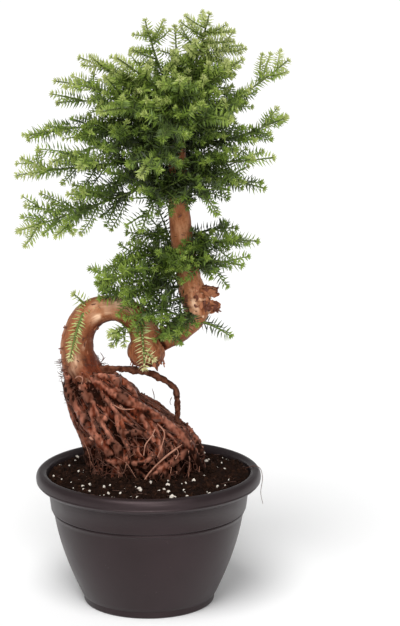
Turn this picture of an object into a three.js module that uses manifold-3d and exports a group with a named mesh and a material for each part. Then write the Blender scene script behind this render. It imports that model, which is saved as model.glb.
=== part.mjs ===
// Bunya pine bonsai: a snaking old trunk on a wide root flare, in a round bowl pot filled with soil.
// Millimetres, +Z up, +X to the right, +Y away from the viewer.
// The origin is the centre of the pot's flat underside.
import * as THREE from "three";
import { mergeVertices } from "three/addons/utils/BufferGeometryUtils.js";
import Module from "manifold-3d";

const wasm = await Module();
wasm.setup();

// Clearance between pieces that touch
const GAP = 0.3;

// Bowl pot and its fill of soil
const POT = {
  height: 138, rimRadius: 114.4, footRadius: 66, footHeight: 8, floor: 4, wall: 2.6,
  bendRadius: 91.4, bend: 54.5, bowlTopRadius: 97, bowlTop: 94,
  collarRadius: 102.5, collarTop: 119.5, segments: 30,
};
const SOIL = { top: 132, plateauRadius: 84, edge: 131, edgeRadius: 103 };

// Root flare, from the soil to the neck of the trunk
const FLARE = {
  ground: SOIL.top + GAP, centre: [-3, 8], halfWidth: 59, halfDepth: 38,
  spread: [0.22, 1.06], shift: [0.1, 1.02], core: 0.91, sides: 12, rings: 6,
  roots: 9, rootRadius: 6.4, rootTop: 0.72, rootDrift: 1.1, rootSeat: 0.92, rootRings: 5, seed: 11,
};

// Places along the trunk, then along the aerial root: position, heading and radius
const JOINT = {
  neck: { at: [-71.6, 8, 258.6], heading: [0, 0, 1], radius: 16.8 },
  crest: { at: [-36, 1, 304.5], heading: [1, -0.14, 0.02], radius: 13 },
  fall: { at: [-3, -9, 279], heading: [0.12, -0.1, -1], radius: 15 },
  dip: { at: [3, -2, 268], heading: [1, 0.1, 0.42], radius: 12.2 },
  burl: { at: [49, 4, 306], heading: [-0.3, 0.02, 0.95], radius: 12.6 },
  tip: { at: [32, 8, 520], heading: [0.03, 0, 1], radius: 2.75 },
  start: { at: [-52, 4, 238.6], heading: [1, -0.05, 0.3], radius: 4.2 },
  bend: { at: [25, 0, 224], heading: [0.75, 0, -0.66], radius: 3.7 },
  foot: { at: [29, 8, 172], heading: [0, 0.1, -1], radius: 3.2 },
};

// Limbs: the joints at both ends, the curve's handles, the power of the taper, swell at half length, facets
const LIMB = {
  trunk_rise: { ends: ["neck", "crest"], handles: [26, 26], taper: 1, swell: 0.6, sides: 12, rings: 8 },
  trunk_arch: { ends: ["crest", "fall"], handles: [13, 15], taper: 1, swell: -0.4, sides: 12, rings: 8 },
  trunk_turn: { ends: ["dip", "burl"], handles: [20, 18], taper: 1, swell: -1.2, sides: 12, rings: 8 },
  trunk_stem: { ends: ["burl", "tip"], handles: [70, 80], taper: 0.55, swell: 0.6, sides: 10, rings: 14 },
  aerial_root_run: { ends: ["start", "bend"], handles: [30, 22], taper: 1, swell: 0, sides: 7, rings: 9 },
  aerial_root_drop: { ends: ["bend", "foot"], handles: [9, 20], taper: 1, swell: 0, sides: 7, rings: 6 },
};

// Swellings and broken pegs on the trunk
const HEEL = { centre: [-1.5, -13, 263], radii: [18.5, 15.5, 17.5], depth: 17, taper: 0.1 };
const BURL = { centre: [51, 1, 314], radii: [11.5, 11, 13] };
const BURL_FLAPS = [
  { from: [50, 2, 320], to: [71, -2, 322], radius: 6 },
  { from: [51, 0, 310], to: [73, -5, 309], radius: 6 },
  { from: [48, 2, 322], to: [59, -10, 337], radius: 5 },
];
const RISE_PEGS = [
  { from: [-70, 4, 285], to: [-86, -2, 286], radius: 3.6 },
  { from: [-74, 4, 265], to: [-91, -2, 264], radius: 3.2 },
];

// Foliage masses: the limb, the share of its length where the stem starts, the stem's tip and upward bow,
// and the length of its twigs beside that of a full mass
const MASS = [
  ["foliage_t1_left", "trunk_stem", 0.63, [-133, -10, 384], -2],
  ["foliage_t1_right", "trunk_stem", 0.63, [122, 22, 422], 3],
  ["foliage_t1_front_left", "trunk_stem", 0.58, [-8, -62, 392], 14],
  ["foliage_t1_front_right", "trunk_stem", 0.6, [70, -60, 408], 8],
  ["foliage_t1_back_left", "trunk_stem", 0.6, [-42, 88, 410], 16],
  ["foliage_t1_back_right", "trunk_stem", 0.63, [72, 92, 416], 14],
  ["foliage_t2_left", "trunk_stem", 0.69, [-135, 26, 436], 3],
  ["foliage_t2_right", "trunk_stem", 0.69, [127, -38, 462], -3],
  ["foliage_t2_front", "trunk_stem", 0.68, [-8, -98, 452], 14],
  ["foliage_t2_front_left", "trunk_stem", 0.73, [-96, -60, 460], 12],
  ["foliage_t2_back", "trunk_stem", 0.69, [48, 112, 462], 14],
  ["foliage_t2_back_left", "trunk_stem", 0.74, [-62, 88, 462], 14],
  ["foliage_t3_left", "trunk_stem", 0.79, [-122, -12, 481], 10],
  ["foliage_t3_right", "trunk_stem", 0.75, [142, -2, 499], -6],
  ["foliage_t3_front", "trunk_stem", 0.78, [14, -106, 488], 12],
  ["foliage_t3_front_right", "trunk_stem", 0.8, [82, -84, 504], 10],
  ["foliage_t3_back", "trunk_stem", 0.77, [8, 110, 496], 10],
  ["foliage_t3_back_right", "trunk_stem", 0.81, [100, 78, 502], 8],
  ["foliage_t4_left", "trunk_stem", 0.87, [-93, -16, 536], 6],
  ["foliage_t4_right", "trunk_stem", 0.84, [144, 14, 554], -6],
  ["foliage_t4_back_left", "trunk_stem", 0.85, [-94, 46, 508], 10],
  ["foliage_t4_front_left", "trunk_stem", 0.84, [-46, -84, 512], 10],
  ["foliage_t5_left", "trunk_stem", 0.92, [-70, 16, 557], 4],
  ["foliage_t5_right", "trunk_stem", 0.93, [96, -30, 559], 2],
  ["foliage_t5_front", "trunk_stem", 0.91, [32, -76, 544], 4],
  ["foliage_t5_back", "trunk_stem", 0.9, [30, 84, 541], 6],
  ["foliage_t5_front_left", "trunk_stem", 0.94, [-32, -44, 562], 2],
  ["foliage_top_left", "trunk_stem", 0.945, [-3, 4, 596], -10],
  ["foliage_top_middle", "trunk_stem", 1, [28, 26, 589], 0],
  ["foliage_top_right", "trunk_stem", 0.935, [63, -4, 603], -8],
  ["foliage_top_far_right", "trunk_stem", 0.915, [88, 28, 582], 0],
  ["foliage_low_right", "trunk_stem", 0.28, [114, -4, 374], 3],
  ["foliage_low_right_front", "trunk_stem", 0.22, [97, -34, 354], 2],
  ["foliage_low_right_back", "trunk_stem", 0.32, [94, 42, 380], 4],
  ["foliage_low_left", "trunk_stem", 0.27, [-46, 4, 344], 3],
  ["foliage_low_left_front", "trunk_stem", 0.19, [-54, -30, 335], 4],
  ["foliage_low_left_back", "trunk_stem", 0.31, [-18, 46, 368], 6],
  ["foliage_mid_left", "trunk_stem", 0.1, [-52, -24, 319], 2],
  ["foliage_mid_hang", "trunk_stem", 0.04, [-16, -42, 296], 8],
  ["foliage_mid_front", "trunk_turn", 0.92, [12, -46, 283], 6],
  ["foliage_mid_back", "trunk_stem", 0.12, [-30, 34, 322], 6],
  ["foliage_burl_shoot", "trunk_turn", 0.76, [86, -26, 280], 3, 0.3],
  ["foliage_heel_droop", "trunk_arch", 0.7, [-3, -47, 250], 16, 0.5],
  ["foliage_arch_up", "trunk_rise", 0.72, [-77, -6, 324], 0, 0.3],
  ["foliage_arch_droop", "trunk_rise", 0.75, [-80, -22, 254], 22, 0.3],
  ["foliage_arch_inner", "trunk_arch", 0.72, [-38, -18, 279], 4, 0.3],
];

// Rule for the stem and twigs of a mass
const STEM = { radius: 2, tipRadius: 0.8, ring: 15, needle: 8.5, bare: 0.2 };
const TWIG = {
  radius: 1.3, tipRadius: 0.6, ring: 12, needle: 7.5, bare: 0.1,
  pitch: 30, most: 6, first: 0.3, last: 0.9, shortest: 12, longest: 60, least: 26,
  share: 0.46, shareFall: 0.27, angle: 1.0, angleTip: 0.7, roll: 1.4, rollSpread: 1.0,
};
const NEEDLE_LEAN = 0.8;
const CLEAR = 0.6;

const FINISH = {
  pot: { color: 0x423c3f, roughness: 0.45 },
  soil: { color: 0x2c221c, roughness: 0.95 },
  root: { color: 0x7a4a34, roughness: 0.85 },
  bark: { color: 0x94623f, roughness: 0.75 },
  needles: { color: 0x55752a, roughness: 0.6 },
};

const { smoothstep, lerp, clamp } = THREE.MathUtils;
const vec = (values) => new THREE.Vector3(...values);
const assembly = new THREE.Group();
assembly.name = "bunya_pine_bonsai";

// Repeatable numbers from 0 to 1
function seeded(seed) {
  let state = (seed * 2654435761) >>> 0;
  return () => {
    state = (state + 0x6d2b79f5) >>> 0;
    let t = Math.imul(state ^ (state >>> 15), state | 1);
    t = (t + Math.imul(t ^ (t >>> 7), t | 61)) ^ t;
    return ((t ^ (t >>> 14)) >>> 0) / 4294967296;
  };
}

function solidOf(geometry) {
  geometry.deleteAttribute("normal");
  geometry.deleteAttribute("uv");
  const welded = mergeVertices(geometry, 1e-4);
  return new wasm.Manifold(new wasm.Mesh({
    numProp: 3,
    vertProperties: new Float32Array(welded.attributes.position.array),
    triVerts: new Uint32Array(welded.index.array),
  }));
}

function geometryOf(solid) {
  const mesh = solid.getMesh();
  const geometry = new THREE.BufferGeometry();
  geometry.setAttribute("position", new THREE.BufferAttribute(mesh.vertProperties, 3));
  geometry.setIndex(new THREE.BufferAttribute(mesh.triVerts, 1));
  return geometry;
}

function place(name, geometry, { color, roughness }) {
  const material = new THREE.MeshStandardMaterial({ color, roughness, metalness: 0 });
  const mesh = new THREE.Mesh(geometry, material);
  mesh.name = name;
  assembly.add(mesh);
}

const joined = (solids) => solids.reduce((whole, solid) => whole.add(solid));
const largest = (solid) => solid.decompose().sort((a, b) => b.volume() - a.volume())[0];

// Skin over rings of points, with flat ends; split(k, j) picks the diagonal of each four-sided patch
function skin(rings, split = () => true) {
  const sides = rings[0].length;
  const points = rings.flat();
  const index = [];
  for (let k = 0; k + 1 < rings.length; k++) {
    for (let j = 0; j < sides; j++) {
      const a = k * sides + j;
      const b = k * sides + ((j + 1) % sides);
      const [c, d] = [b + sides, a + sides];
      index.push(...(split(k, j) ? [a, b, d, b, c, d] : [a, b, c, a, c, d]));
    }
  }
  const last = points.length - sides;
  for (let j = 1; j + 1 < sides; j++) {
    index.push(0, j + 1, j, last, last + j, last + j + 1);
  }
  const geometry = new THREE.BufferGeometry().setFromPoints(points);
  geometry.setIndex(index);
  return geometry;
}

// Points round a curve at fraction u; offset(j) gives each corner's distance out and forward
function ringOn(curve, frames, k, u, sides, offset) {
  const centre = curve.getPointAt(u);
  return Array.from({ length: sides }, (_, j) => {
    const angle = (2 * Math.PI * j) / sides;
    const [out, forward] = offset(j);
    return centre.clone()
      .addScaledVector(frames.normals[k], Math.cos(angle) * out)
      .addScaledVector(frames.binormals[k], Math.sin(angle) * out)
      .addScaledVector(frames.tangents[k], forward);
  });
}

// Limbs of the trunk and the aerial root
function limbCurve({ ends, handles }) {
  const [start, end] = ends.map((name) => JOINT[name]);
  const [p0, p3] = [vec(start.at), vec(end.at)];
  const p1 = p0.clone().addScaledVector(vec(start.heading).normalize(), handles[0]);
  const p2 = p3.clone().addScaledVector(vec(end.heading).normalize(), -handles[1]);
  return new THREE.CubicBezierCurve3(p0, p1, p2, p3);
}

function limbRadius({ ends, taper, swell }, u) {
  const [r0, r1] = ends.map((name) => JOINT[name].radius);
  return r1 + (r0 - r1) * (1 - u) ** taper + swell * Math.sin(Math.PI * u);
}

// The far end stops short of the joint, so that the next limb starts clear of it
function limb(name, grow = 0) {
  const spec = LIMB[name];
  const curve = limbCurve(spec);
  const frames = curve.computeFrenetFrames(spec.rings);
  const rings = [];
  for (let k = 0; k <= spec.rings; k++) {
    const u = k / spec.rings;
    const forward = k === 0 ? -grow : k === spec.rings ? grow - GAP : 0;
    rings.push(ringOn(curve, frames, k, u, spec.sides, () => [limbRadius(spec, u) + grow, forward]));
  }
  return solidOf(skin(rings));
}

function swelling({ centre, radii }) {
  return solidOf(new THREE.SphereGeometry(1, 10, 6).scale(...radii).translate(...centre));
}

function peg({ from, to, radius }) {
  const [start, end] = [vec(from), vec(to)];
  const geometry = new THREE.CylinderGeometry(radius * 0.25, radius, start.distanceTo(end), 6);
  const turn = new THREE.Quaternion().setFromUnitVectors(
    new THREE.Vector3(0, 1, 0), end.clone().sub(start).normalize());
  geometry.applyQuaternion(turn).translate(...start.add(end).multiplyScalar(0.5));
  return solidOf(geometry);
}

// The short heel carries the arch down into the turn
function heel() {
  const { at, heading, radius } = JOINT.fall;
  const foot = vec(at).addScaledVector(vec(heading).normalize(), HEEL.depth);
  const curve = new THREE.LineCurve3(vec(at), foot);
  const frames = curve.computeFrenetFrames(1);
  const girth = (u) => radius * (1 - HEEL.taper * u);
  const rings = [0, 1].map((u) => ringOn(curve, frames, u, u, 12, () => [girth(u), 0]));
  return solidOf(skin(rings)).add(swelling(HEEL));
}

// Root flare: a slanting oval core with roots running down its surface
function flarePoint(angle, t, out) {
  const neck = JOINT.neck;
  const spread = 1 - smoothstep(t, ...FLARE.spread);
  const shift = smoothstep(t, ...FLARE.shift);
  const width = lerp(neck.radius, FLARE.halfWidth * out, spread);
  const depth = lerp(neck.radius, FLARE.halfDepth * out, spread);
  return new THREE.Vector3(
    lerp(FLARE.centre[0], neck.at[0], shift) + width * Math.cos(angle),
    lerp(FLARE.centre[1], neck.at[1], shift) + depth * Math.sin(angle),
    lerp(FLARE.ground, neck.at[2] - GAP, t));
}

function flareRing(t, grow) {
  const centre = flarePoint(0, t, 0).add(flarePoint(Math.PI, t, 0)).multiplyScalar(0.5);
  return Array.from({ length: FLARE.sides }, (_, j) => {
    const corner = flarePoint((2 * Math.PI * j) / FLARE.sides, t, FLARE.core);
    const out = corner.clone().sub(centre).setLength(grow);
    return corner.add(out);
  });
}

function flareRoot(k, random, grow) {
  const angle = (2 * Math.PI * (k + 0.6 * random())) / FLARE.roots;
  const drift = (random() - 0.5) * FLARE.rootDrift;
  const top = FLARE.rootTop * (0.83 + 0.34 * random());
  const girth = FLARE.rootRadius * (0.75 + 0.45 * random());
  const path = new THREE.CatmullRomCurve3([-0.06, 0.1, 0.3, 0.6, 1].map((share) =>
    flarePoint(angle + drift * share, top * share, FLARE.rootSeat)));
  const frames = path.computeFrenetFrames(FLARE.rootRings);
  const rings = [];
  for (let i = 0; i <= FLARE.rootRings; i++) {
    const u = i / FLARE.rootRings;
    rings.push(ringOn(path, frames, i, u, 5, () => [girth * (1 - 0.55 * u) + grow, 0]));
  }
  return solidOf(skin(rings));
}

function flare(grow = 0) {
  const random = seeded(FLARE.seed);
  const rings = [];
  for (let i = 0; i <= FLARE.rings; i++) rings.push(flareRing(i / FLARE.rings, grow));
  const pieces = [solidOf(skin(rings))];
  for (let k = 0; k < FLARE.roots; k++) pieces.push(flareRoot(k, random, grow));
  const below = new THREE.BoxGeometry(300, 300, 60).translate(0, 0, FLARE.ground - 30 - grow);
  return joined(pieces).subtract(solidOf(below));
}

// A stem or twig clothed in needles: four corners to a ring, every second one drawn out to a needle's tip
function clothed(curve, rule) {
  const length = curve.getLength();
  const count = Math.max(3, Math.round(length / rule.ring));
  const frames = curve.computeFrenetFrames(count);
  const drawnOut = (k, j) => (k + j) % 2 === 0;
  const rings = [];
  for (let k = 0; k <= count; k++) {
    const u = k / count;
    const core = lerp(rule.radius, rule.tipRadius, u);
    const needle = rule.needle * smoothstep(u, rule.bare, rule.bare + 0.15) * (1 - 0.35 * u);
    rings.push(ringOn(curve, frames, k, u, 4, (j) => drawnOut(k, j) && k > 0 && needle > 0.5
      ? [core + needle, needle * NEEDLE_LEAN] : [core, 0]));
  }
  const tip = curve.getPointAt(1).addScaledVector(frames.tangents[count], rule.needle);
  rings.push(Array.from({ length: 4 }, () => tip.clone()));
  return solidOf(skin(rings, (k, j) => drawnOut(k, j)));
}

function stemCurve([, limbName, share, tip, bow]) {
  const start = limbCurve(LIMB[limbName]).getPointAt(share);
  const end = vec(tip).sub(start);
  end.setLength(end.length() - STEM.needle).add(start);
  const middle = start.clone().add(end).multiplyScalar(0.5);
  middle.z += 2 * bow;
  return new THREE.QuadraticBezierCurve3(start, middle, end);
}

function twigCurve(stem, u, length, roll) {
  const start = stem.getPointAt(u);
  const along = stem.getTangentAt(u);
  const up = new THREE.Vector3(0, 0, 1).addScaledVector(along, -along.z);
  if (along.z > 0.75) up.set(0, -1, 0).addScaledVector(along, along.y);
  up.normalize();
  const side = along.clone().cross(up);
  const out = up.multiplyScalar(Math.cos(roll)).addScaledVector(side, Math.sin(roll));
  const heading = (a) => along.clone().multiplyScalar(Math.cos(a)).addScaledVector(out, Math.sin(a));
  const bend = start.clone().addScaledVector(heading(TWIG.angle), length / 2);
  const end = bend.clone().addScaledVector(heading(TWIG.angleTip), length / 2);
  return new THREE.QuadraticBezierCurve3(start, bend, end);
}

function near(a, b) {
  const [p, q] = [a.boundingBox(), b.boundingBox()];
  return [0, 1, 2].every((i) => p.min[i] - CLEAR < q.max[i] && q.min[i] - CLEAR < p.max[i]);
}

const keepsClear = (solid, others) =>
  others.every((other) => !near(solid, other) || solid.minGap(other, CLEAR) >= CLEAR);

// Twigs stand out left and right in turn; one that would touch a neighbour is cut short or skipped
function twigs(stem, random, others, fullness = 1) {
  const length = stem.getLength();
  const count = Math.min(TWIG.most, Math.max(2, Math.round(length / TWIG.pitch)));
  const grown = [];
  for (let i = 0; i < count; i++) {
    const u = lerp(TWIG.first, TWIG.last, (i + 0.5 * random()) / count);
    const side = i % 2 ? -1 : 1;
    const roll = side * (TWIG.roll + TWIG.rollSpread * (random() - 0.5));
    const plain = clamp(length * (TWIG.share - TWIG.shareFall * u), TWIG.least, TWIG.longest);
    const full = fullness * plain * (0.85 + 0.3 * random());
    for (const share of [1, 0.75, 0.5]) {
      if (full * share < TWIG.shortest) break;
      const twig = clothed(twigCurve(stem, u, full * share, roll), TWIG);
      if (keepsClear(twig, others)) {
        grown.push(twig);
        break;
      }
    }
  }
  return grown;
}

// Bowl pot and soil
function bowlWall(inset, divisions) {
  const low = new THREE.Vector2(POT.footRadius + 3 - inset, POT.footHeight + 0.5 + inset * 0.6);
  const bend = new THREE.Vector2(POT.bendRadius - inset, POT.bend);
  const high = new THREE.Vector2(POT.bowlTopRadius - inset, POT.bowlTop);
  return new THREE.QuadraticBezierCurve(low, bend, high).getPoints(divisions);
}

function potWall() {
  const { footRadius, footHeight, bowlTop, bowlTopRadius } = POT;
  const { collarRadius, collarTop, rimRadius, height } = POT;
  const foot = new THREE.Path().moveTo(0, 0);
  foot.lineTo(footRadius, 0).lineTo(footRadius + 1, 1.2).lineTo(footRadius + 1.5, footHeight - 1);
  const lip = new THREE.Path().moveTo(bowlTopRadius + 1.4, bowlTop + 1);
  lip.lineTo(bowlTopRadius + 1.4, bowlTop + 2.4).lineTo(bowlTopRadius + 0.6, bowlTop + 3.2);
  lip.lineTo(bowlTopRadius + 3, bowlTop + 4.6).lineTo(collarRadius, collarTop);
  lip.quadraticCurveTo(rimRadius - 3.4, collarTop + 2, rimRadius, height - 11);
  lip.quadraticCurveTo(rimRadius + 1.8, height - 3.4, rimRadius - 3.4, height - 0.6);
  lip.quadraticCurveTo(rimRadius - 7.4, height + 0.9, rimRadius - 10, height - 2);
  return [...foot.getPoints(), ...bowlWall(0, 5), ...lip.getPoints(3)];
}

function innerWall(inset) {
  const throat = POT.collarRadius - POT.wall - inset;
  return [
    new THREE.Vector2(POT.footRadius - 5 - inset, POT.floor + inset),
    ...bowlWall(POT.wall + inset, 3),
    new THREE.Vector2(throat - 2.8, POT.bowlTop + 5),
    new THREE.Vector2(throat, POT.collarTop),
  ];
}

function turned(points) {
  return mergeVertices(new THREE.LatheGeometry(points, POT.segments).rotateX(Math.PI / 2), 1e-4);
}

const axisPoint = (z) => new THREE.Vector2(0, z);
const mouth = new THREE.Vector2(POT.rimRadius - 10.8, POT.height - 6);
place("pot", turned([...potWall(), mouth, ...innerWall(0).reverse(), axisPoint(POT.floor)]), FINISH.pot);
place("soil", turned([
  axisPoint(POT.floor + GAP), ...innerWall(GAP),
  new THREE.Vector2(SOIL.edgeRadius, SOIL.edge), new THREE.Vector2(SOIL.plateauRadius, SOIL.top),
  axisPoint(SOIL.top),
]), FINISH.soil);

// Trunk, from the flat cut at the soil to the tip, and the aerial root beside it
const seats = Object.fromEntries(Object.keys(LIMB).map((name) => [name, limb(name, GAP)]));
const flareSeat = flare(1.4 * GAP);
const burl = [swelling(BURL), ...BURL_FLAPS.map(peg)];
const bark = {
  trunk_rise: joined([limb("trunk_rise"), ...RISE_PEGS.map(peg)]),
  trunk_arch: limb("trunk_arch"),
  trunk_turn: limb("trunk_turn").add(heel()).subtract(seats.trunk_arch),
  trunk_stem: joined([limb("trunk_stem"), ...burl]).subtract(seats.trunk_turn),
};
const roots = {
  trunk_base: flare(),
  aerial_root_run: largest(limb("aerial_root_run").subtract(flareSeat)),
  aerial_root_drop: largest(limb("aerial_root_drop").subtract(flareSeat)),
};
for (const [name, solid] of Object.entries(bark)) place(name, geometryOf(solid), FINISH.bark);
for (const [name, solid] of Object.entries(roots)) place(name, geometryOf(solid), FINISH.root);

// Foliage masses, each from one stem that starts clear of its limb
const limbs = [...Object.values(bark), ...Object.values(roots)];
const curves = MASS.map(stemCurve);
const stems = curves.map((curve, i) => largest(clothed(curve, STEM).subtract(seats[MASS[i][1]])));
const masses = [];
MASS.forEach(([name, , , , , fullness], i) => {
  const neighbours = [...limbs, ...masses, ...stems.slice(i + 1)];
  masses.push(joined([stems[i], ...twigs(curves[i], seeded(i + 1), neighbours, fullness)]));
  place(name, geometryOf(masses[i]), FINISH.needles);
});

export default assembly;
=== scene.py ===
# Bunya pine bonsai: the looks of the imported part, in a soft studio.
# Sizes are millimetres in the part's frame, and meshes are written in metres.
import math
from itertools import combinations, product
from types import SimpleNamespace

import bpy
import numpy as np
from mathutils import Euler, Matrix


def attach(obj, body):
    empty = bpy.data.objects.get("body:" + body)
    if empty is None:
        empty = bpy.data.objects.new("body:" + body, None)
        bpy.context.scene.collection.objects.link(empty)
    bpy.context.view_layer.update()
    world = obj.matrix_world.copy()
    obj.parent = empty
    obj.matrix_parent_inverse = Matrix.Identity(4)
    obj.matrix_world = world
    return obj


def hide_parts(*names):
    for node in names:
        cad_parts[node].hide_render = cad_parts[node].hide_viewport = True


MM = 0.001
BODY = "root"
TURN = 2 * math.pi
GOLDEN = math.pi * (3 - math.sqrt(5))

# Bowl pot and soil, as in the part's source
POT = SimpleNamespace(
    height=138, rim=114.4, foot=66, foot_height=8, floor=4, wall=2.6, bend_radius=91.4, bend=54.5,
    bowl_radius=97, bowl_top=94, collar_radius=102.5, collar_top=119.5, segments=192)
SOIL = SimpleNamespace(
    top=132, plateau=84, edge=131, edge_radius=102.6, calm_radius=105, calm_reach=8, underside=112,
    underside_share=0.955, rows=84, columns=260)
# Lumps of the soil: height, size and seed
SOIL_LUMPS = [(1.5, 13, 5), (0.8, 3.2, 9)]
HEAP = SimpleNamespace(centre=(86, 14), height=7, spread=18)
# Grains that lie on the soil: how many and how far out, their sizes, and how high they stand
CRUMBS = dict(count=4200, reach=101, shape=3, scale=0.4, smallest=0.5, largest=4.2, lift=0.2)
WHITE_GRAINS = dict(count=150, reach=99, shape=5, scale=0.33, smallest=0.8, largest=3, lift=0.35)
FIBRES = dict(count=90, reach=99)
# Crumbs heaped round the foot of the tree
HEAPED = SimpleNamespace(
    count=1300, shape=3, scale=0.42, smallest=0.6, largest=3.4, sink=0.08, reach=0.3, height=6)

# Root flare, from the soil to the neck of the trunk
FLARE = SimpleNamespace(
    ground=132.3, centre=(-3, 8), half_width=59, half_depth=38, spread=(0.22, 1.06), shift=(0.1, 1.02))

# Places along the trunk and the aerial root: position, heading and radius
JOINT = dict(
    neck=((-71.6, 8, 258.6), (0, 0, 1), 16.8),
    crest=((-36, 1, 304.5), (1, -0.14, 0.02), 13),
    fall=((-3, -9, 279), (0.12, -0.1, -1), 15),
    dip=((3, -2, 268), (1, 0.1, 0.42), 12.2),
    burl=((49, 4, 306), (-0.3, 0.02, 0.95), 12.6),
    tip=((32, 8, 520), (0.03, 0, 1), 2.75),
    start=((-52, 4, 238.6), (1, -0.05, 0.3), 4.2),
    bend=((25, 0, 224), (0.75, 0, -0.66), 3.7),
    foot=((29, 8, 172), (0, 0.1, -1), 3.2),
)
NECK_PLACE, _, NECK_RADIUS = JOINT["neck"]
FLARE_HEIGHT = NECK_PLACE[2] - FLARE.ground
# How the trunk sinks into the flare: shares of the flare's height, and girths beside the flare's own
NECK_SHARES = (0.66, 0.8, 0.9, 0.97)
NECK_GIRTHS = (0.5, 0.72, 0.93, 0.97)

# Limbs: the joints at both ends, the curve's handles, the power of the taper, swell at half length
LIMB = dict(
    trunk_rise=("neck", "crest", 26, 26, 1, 0.6),
    trunk_arch=("crest", "fall", 13, 15, 1, -0.4),
    trunk_turn=("dip", "burl", 20, 18, 1, -1.2),
    trunk_stem=("burl", "tip", 70, 80, 0.55, 0.6),
    aerial_root_run=("start", "bend", 30, 22, 1, 0),
    aerial_root_drop=("bend", "foot", 9, 20, 1, 0),
)
HEEL = SimpleNamespace(
    centre=(-1.5, -13, 263), radii=(18.5, 15.5, 17.5), depth=17, taper=0.1, end=250, end_flat=0.45)
BURL = SimpleNamespace(centre=(51, 1, 314), radii=(11.5, 11, 13))
# Broken pegs: both ends and the radius at each
BURL_PEGS = [((50, 2, 320), (68, -2, 322), 6.5, 3.5), ((51, 0, 309), (70, -5, 307), 6.5, 3.5)]
RISE_PEGS = [((-70, 4, 285), (-85, -2, 286), 3, 0.8), ((-74, 4, 265), (-90, -2, 264), 2.6, 0.6)]

# Foliage masses: the share of the limb's length where the stem starts, the stem's tip and upward bow,
# and for single shoots the length of the twigs beside that of a full mass
MASS = [
    ("t1_left", 0.63, (-133, -10, 384), -2),
    ("t1_right", 0.63, (122, 22, 422), 3),
    ("t1_front_left", 0.58, (-8, -62, 392), 14),
    ("t1_front_right", 0.6, (70, -60, 408), 8),
    ("t1_back_left", 0.6, (-42, 88, 410), 16),
    ("t1_back_right", 0.63, (72, 92, 416), 14),
    ("t2_left", 0.69, (-135, 26, 436), 3),
    ("t2_right", 0.69, (127, -38, 462), -3),
    ("t2_front", 0.68, (-8, -98, 452), 14),
    ("t2_front_left", 0.73, (-96, -60, 460), 12),
    ("t2_back", 0.69, (48, 112, 462), 14),
    ("t2_back_left", 0.74, (-62, 88, 462), 14),
    ("t3_left", 0.79, (-122, -12, 481), 10),
    ("t3_right", 0.75, (142, -2, 499), -6),
    ("t3_front", 0.78, (14, -106, 488), 12),
    ("t3_front_right", 0.8, (82, -84, 504), 10),
    ("t3_back", 0.77, (8, 110, 496), 10),
    ("t3_back_right", 0.81, (100, 78, 502), 8),
    ("t4_left", 0.87, (-93, -16, 536), 6),
    ("t4_right", 0.84, (144, 14, 554), -6),
    ("t4_back_left", 0.85, (-94, 46, 508), 10),
    ("t4_front_left", 0.84, (-46, -84, 512), 10),
    ("t5_left", 0.92, (-70, 16, 557), 4),
    ("t5_right", 0.93, (96, -30, 559), 2),
    ("t5_front", 0.91, (32, -76, 544), 4),
    ("t5_back", 0.9, (30, 84, 541), 6),
    ("t5_front_left", 0.94, (-32, -44, 562), 2),
    ("top_left", 0.945, (-3, 4, 596), -10),
    ("top_middle", 1, (28, 26, 589), 0),
    ("top_right", 0.935, (63, -4, 603), -8),
    ("top_far_right", 0.915, (88, 28, 582), 0),
    ("low_right", 0.28, (114, -4, 374), 3),
    ("low_right_front", 0.22, (97, -34, 354), 2),
    ("low_right_back", 0.32, (94, 42, 380), 4),
    ("low_left", 0.27, (-46, 4, 344), 3),
    ("low_left_front", 0.19, (-54, -30, 335), 4),
    ("low_left_back", 0.31, (-18, 46, 368), 6),
    ("mid_left", 0.1, (-52, -24, 319), 2),
    ("mid_hang", 0.04, (-16, -42, 296), 8),
    ("mid_front", 0.92, (12, -46, 283), 6),
    ("mid_back", 0.12, (-30, 34, 322), 6),
    ("burl_shoot", 0.76, (86, -26, 280), 3, 0.3),
    ("heel_droop", 0.7, (-3, -47, 250), 16, 0.5),
    ("arch_up", 0.72, (-77, -6, 324), 0, 0.3),
    ("arch_droop", 0.75, (-80, -22, 254), 22, 0.3),
    ("arch_inner", 0.72, (-38, -18, 279), 4, 0.3),
]
# Masses that another limb than the upper stem carries
CARRIER = dict(mid_front="trunk_turn", burl_shoot="trunk_turn", heel_droop="trunk_arch",
               arch_inner="trunk_arch", arch_up="trunk_rise", arch_droop="trunk_rise")
TIERS = ("t1", "t2", "t3", "t4", "t5", "top", "low")

# Rule for the stem and twigs of a mass, and the same rule carried to finer twigs
STEM = dict(radius=1.5, tip_radius=0.7, needle=9.8, bare=0.1, bud=5, flare=1.2, flare_fall=9)
TWIG = dict(radius=1.0, tip_radius=0.5, needle=9.5, bare=0.06, pitch=30, most=6, first=0.3, last=0.9,
            shortest=12, longest=60, least=26, share=0.46, share_fall=0.27,
            angle=1.0, angle_tip=0.7, roll=1.4, roll_spread=1.0)
FILL = dict(TWIG, radius=0.9, needle=8.6, pitch=19, most=7, first=0.12, last=0.88, longest=54, least=24,
            share=0.45, angle=1.15, angle_tip=0.9, roll=1.45, roll_spread=1.6)
HEART = dict(TWIG, radius=0.9, needle=8.6, pitch=13, most=8, first=0.05, last=0.55, longest=40, least=28,
             share=0.3, share_fall=0.1, roll=1.6, roll_spread=3.1)
TWIGLET = dict(TWIG, radius=0.7, tip_radius=0.4, needle=7.6, pitch=18, most=2, first=0.35, last=0.8,
               shortest=9, longest=26, least=18, share=0.42, share_fall=0.2, roll_spread=1.6)
BRANCHED = 38
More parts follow.
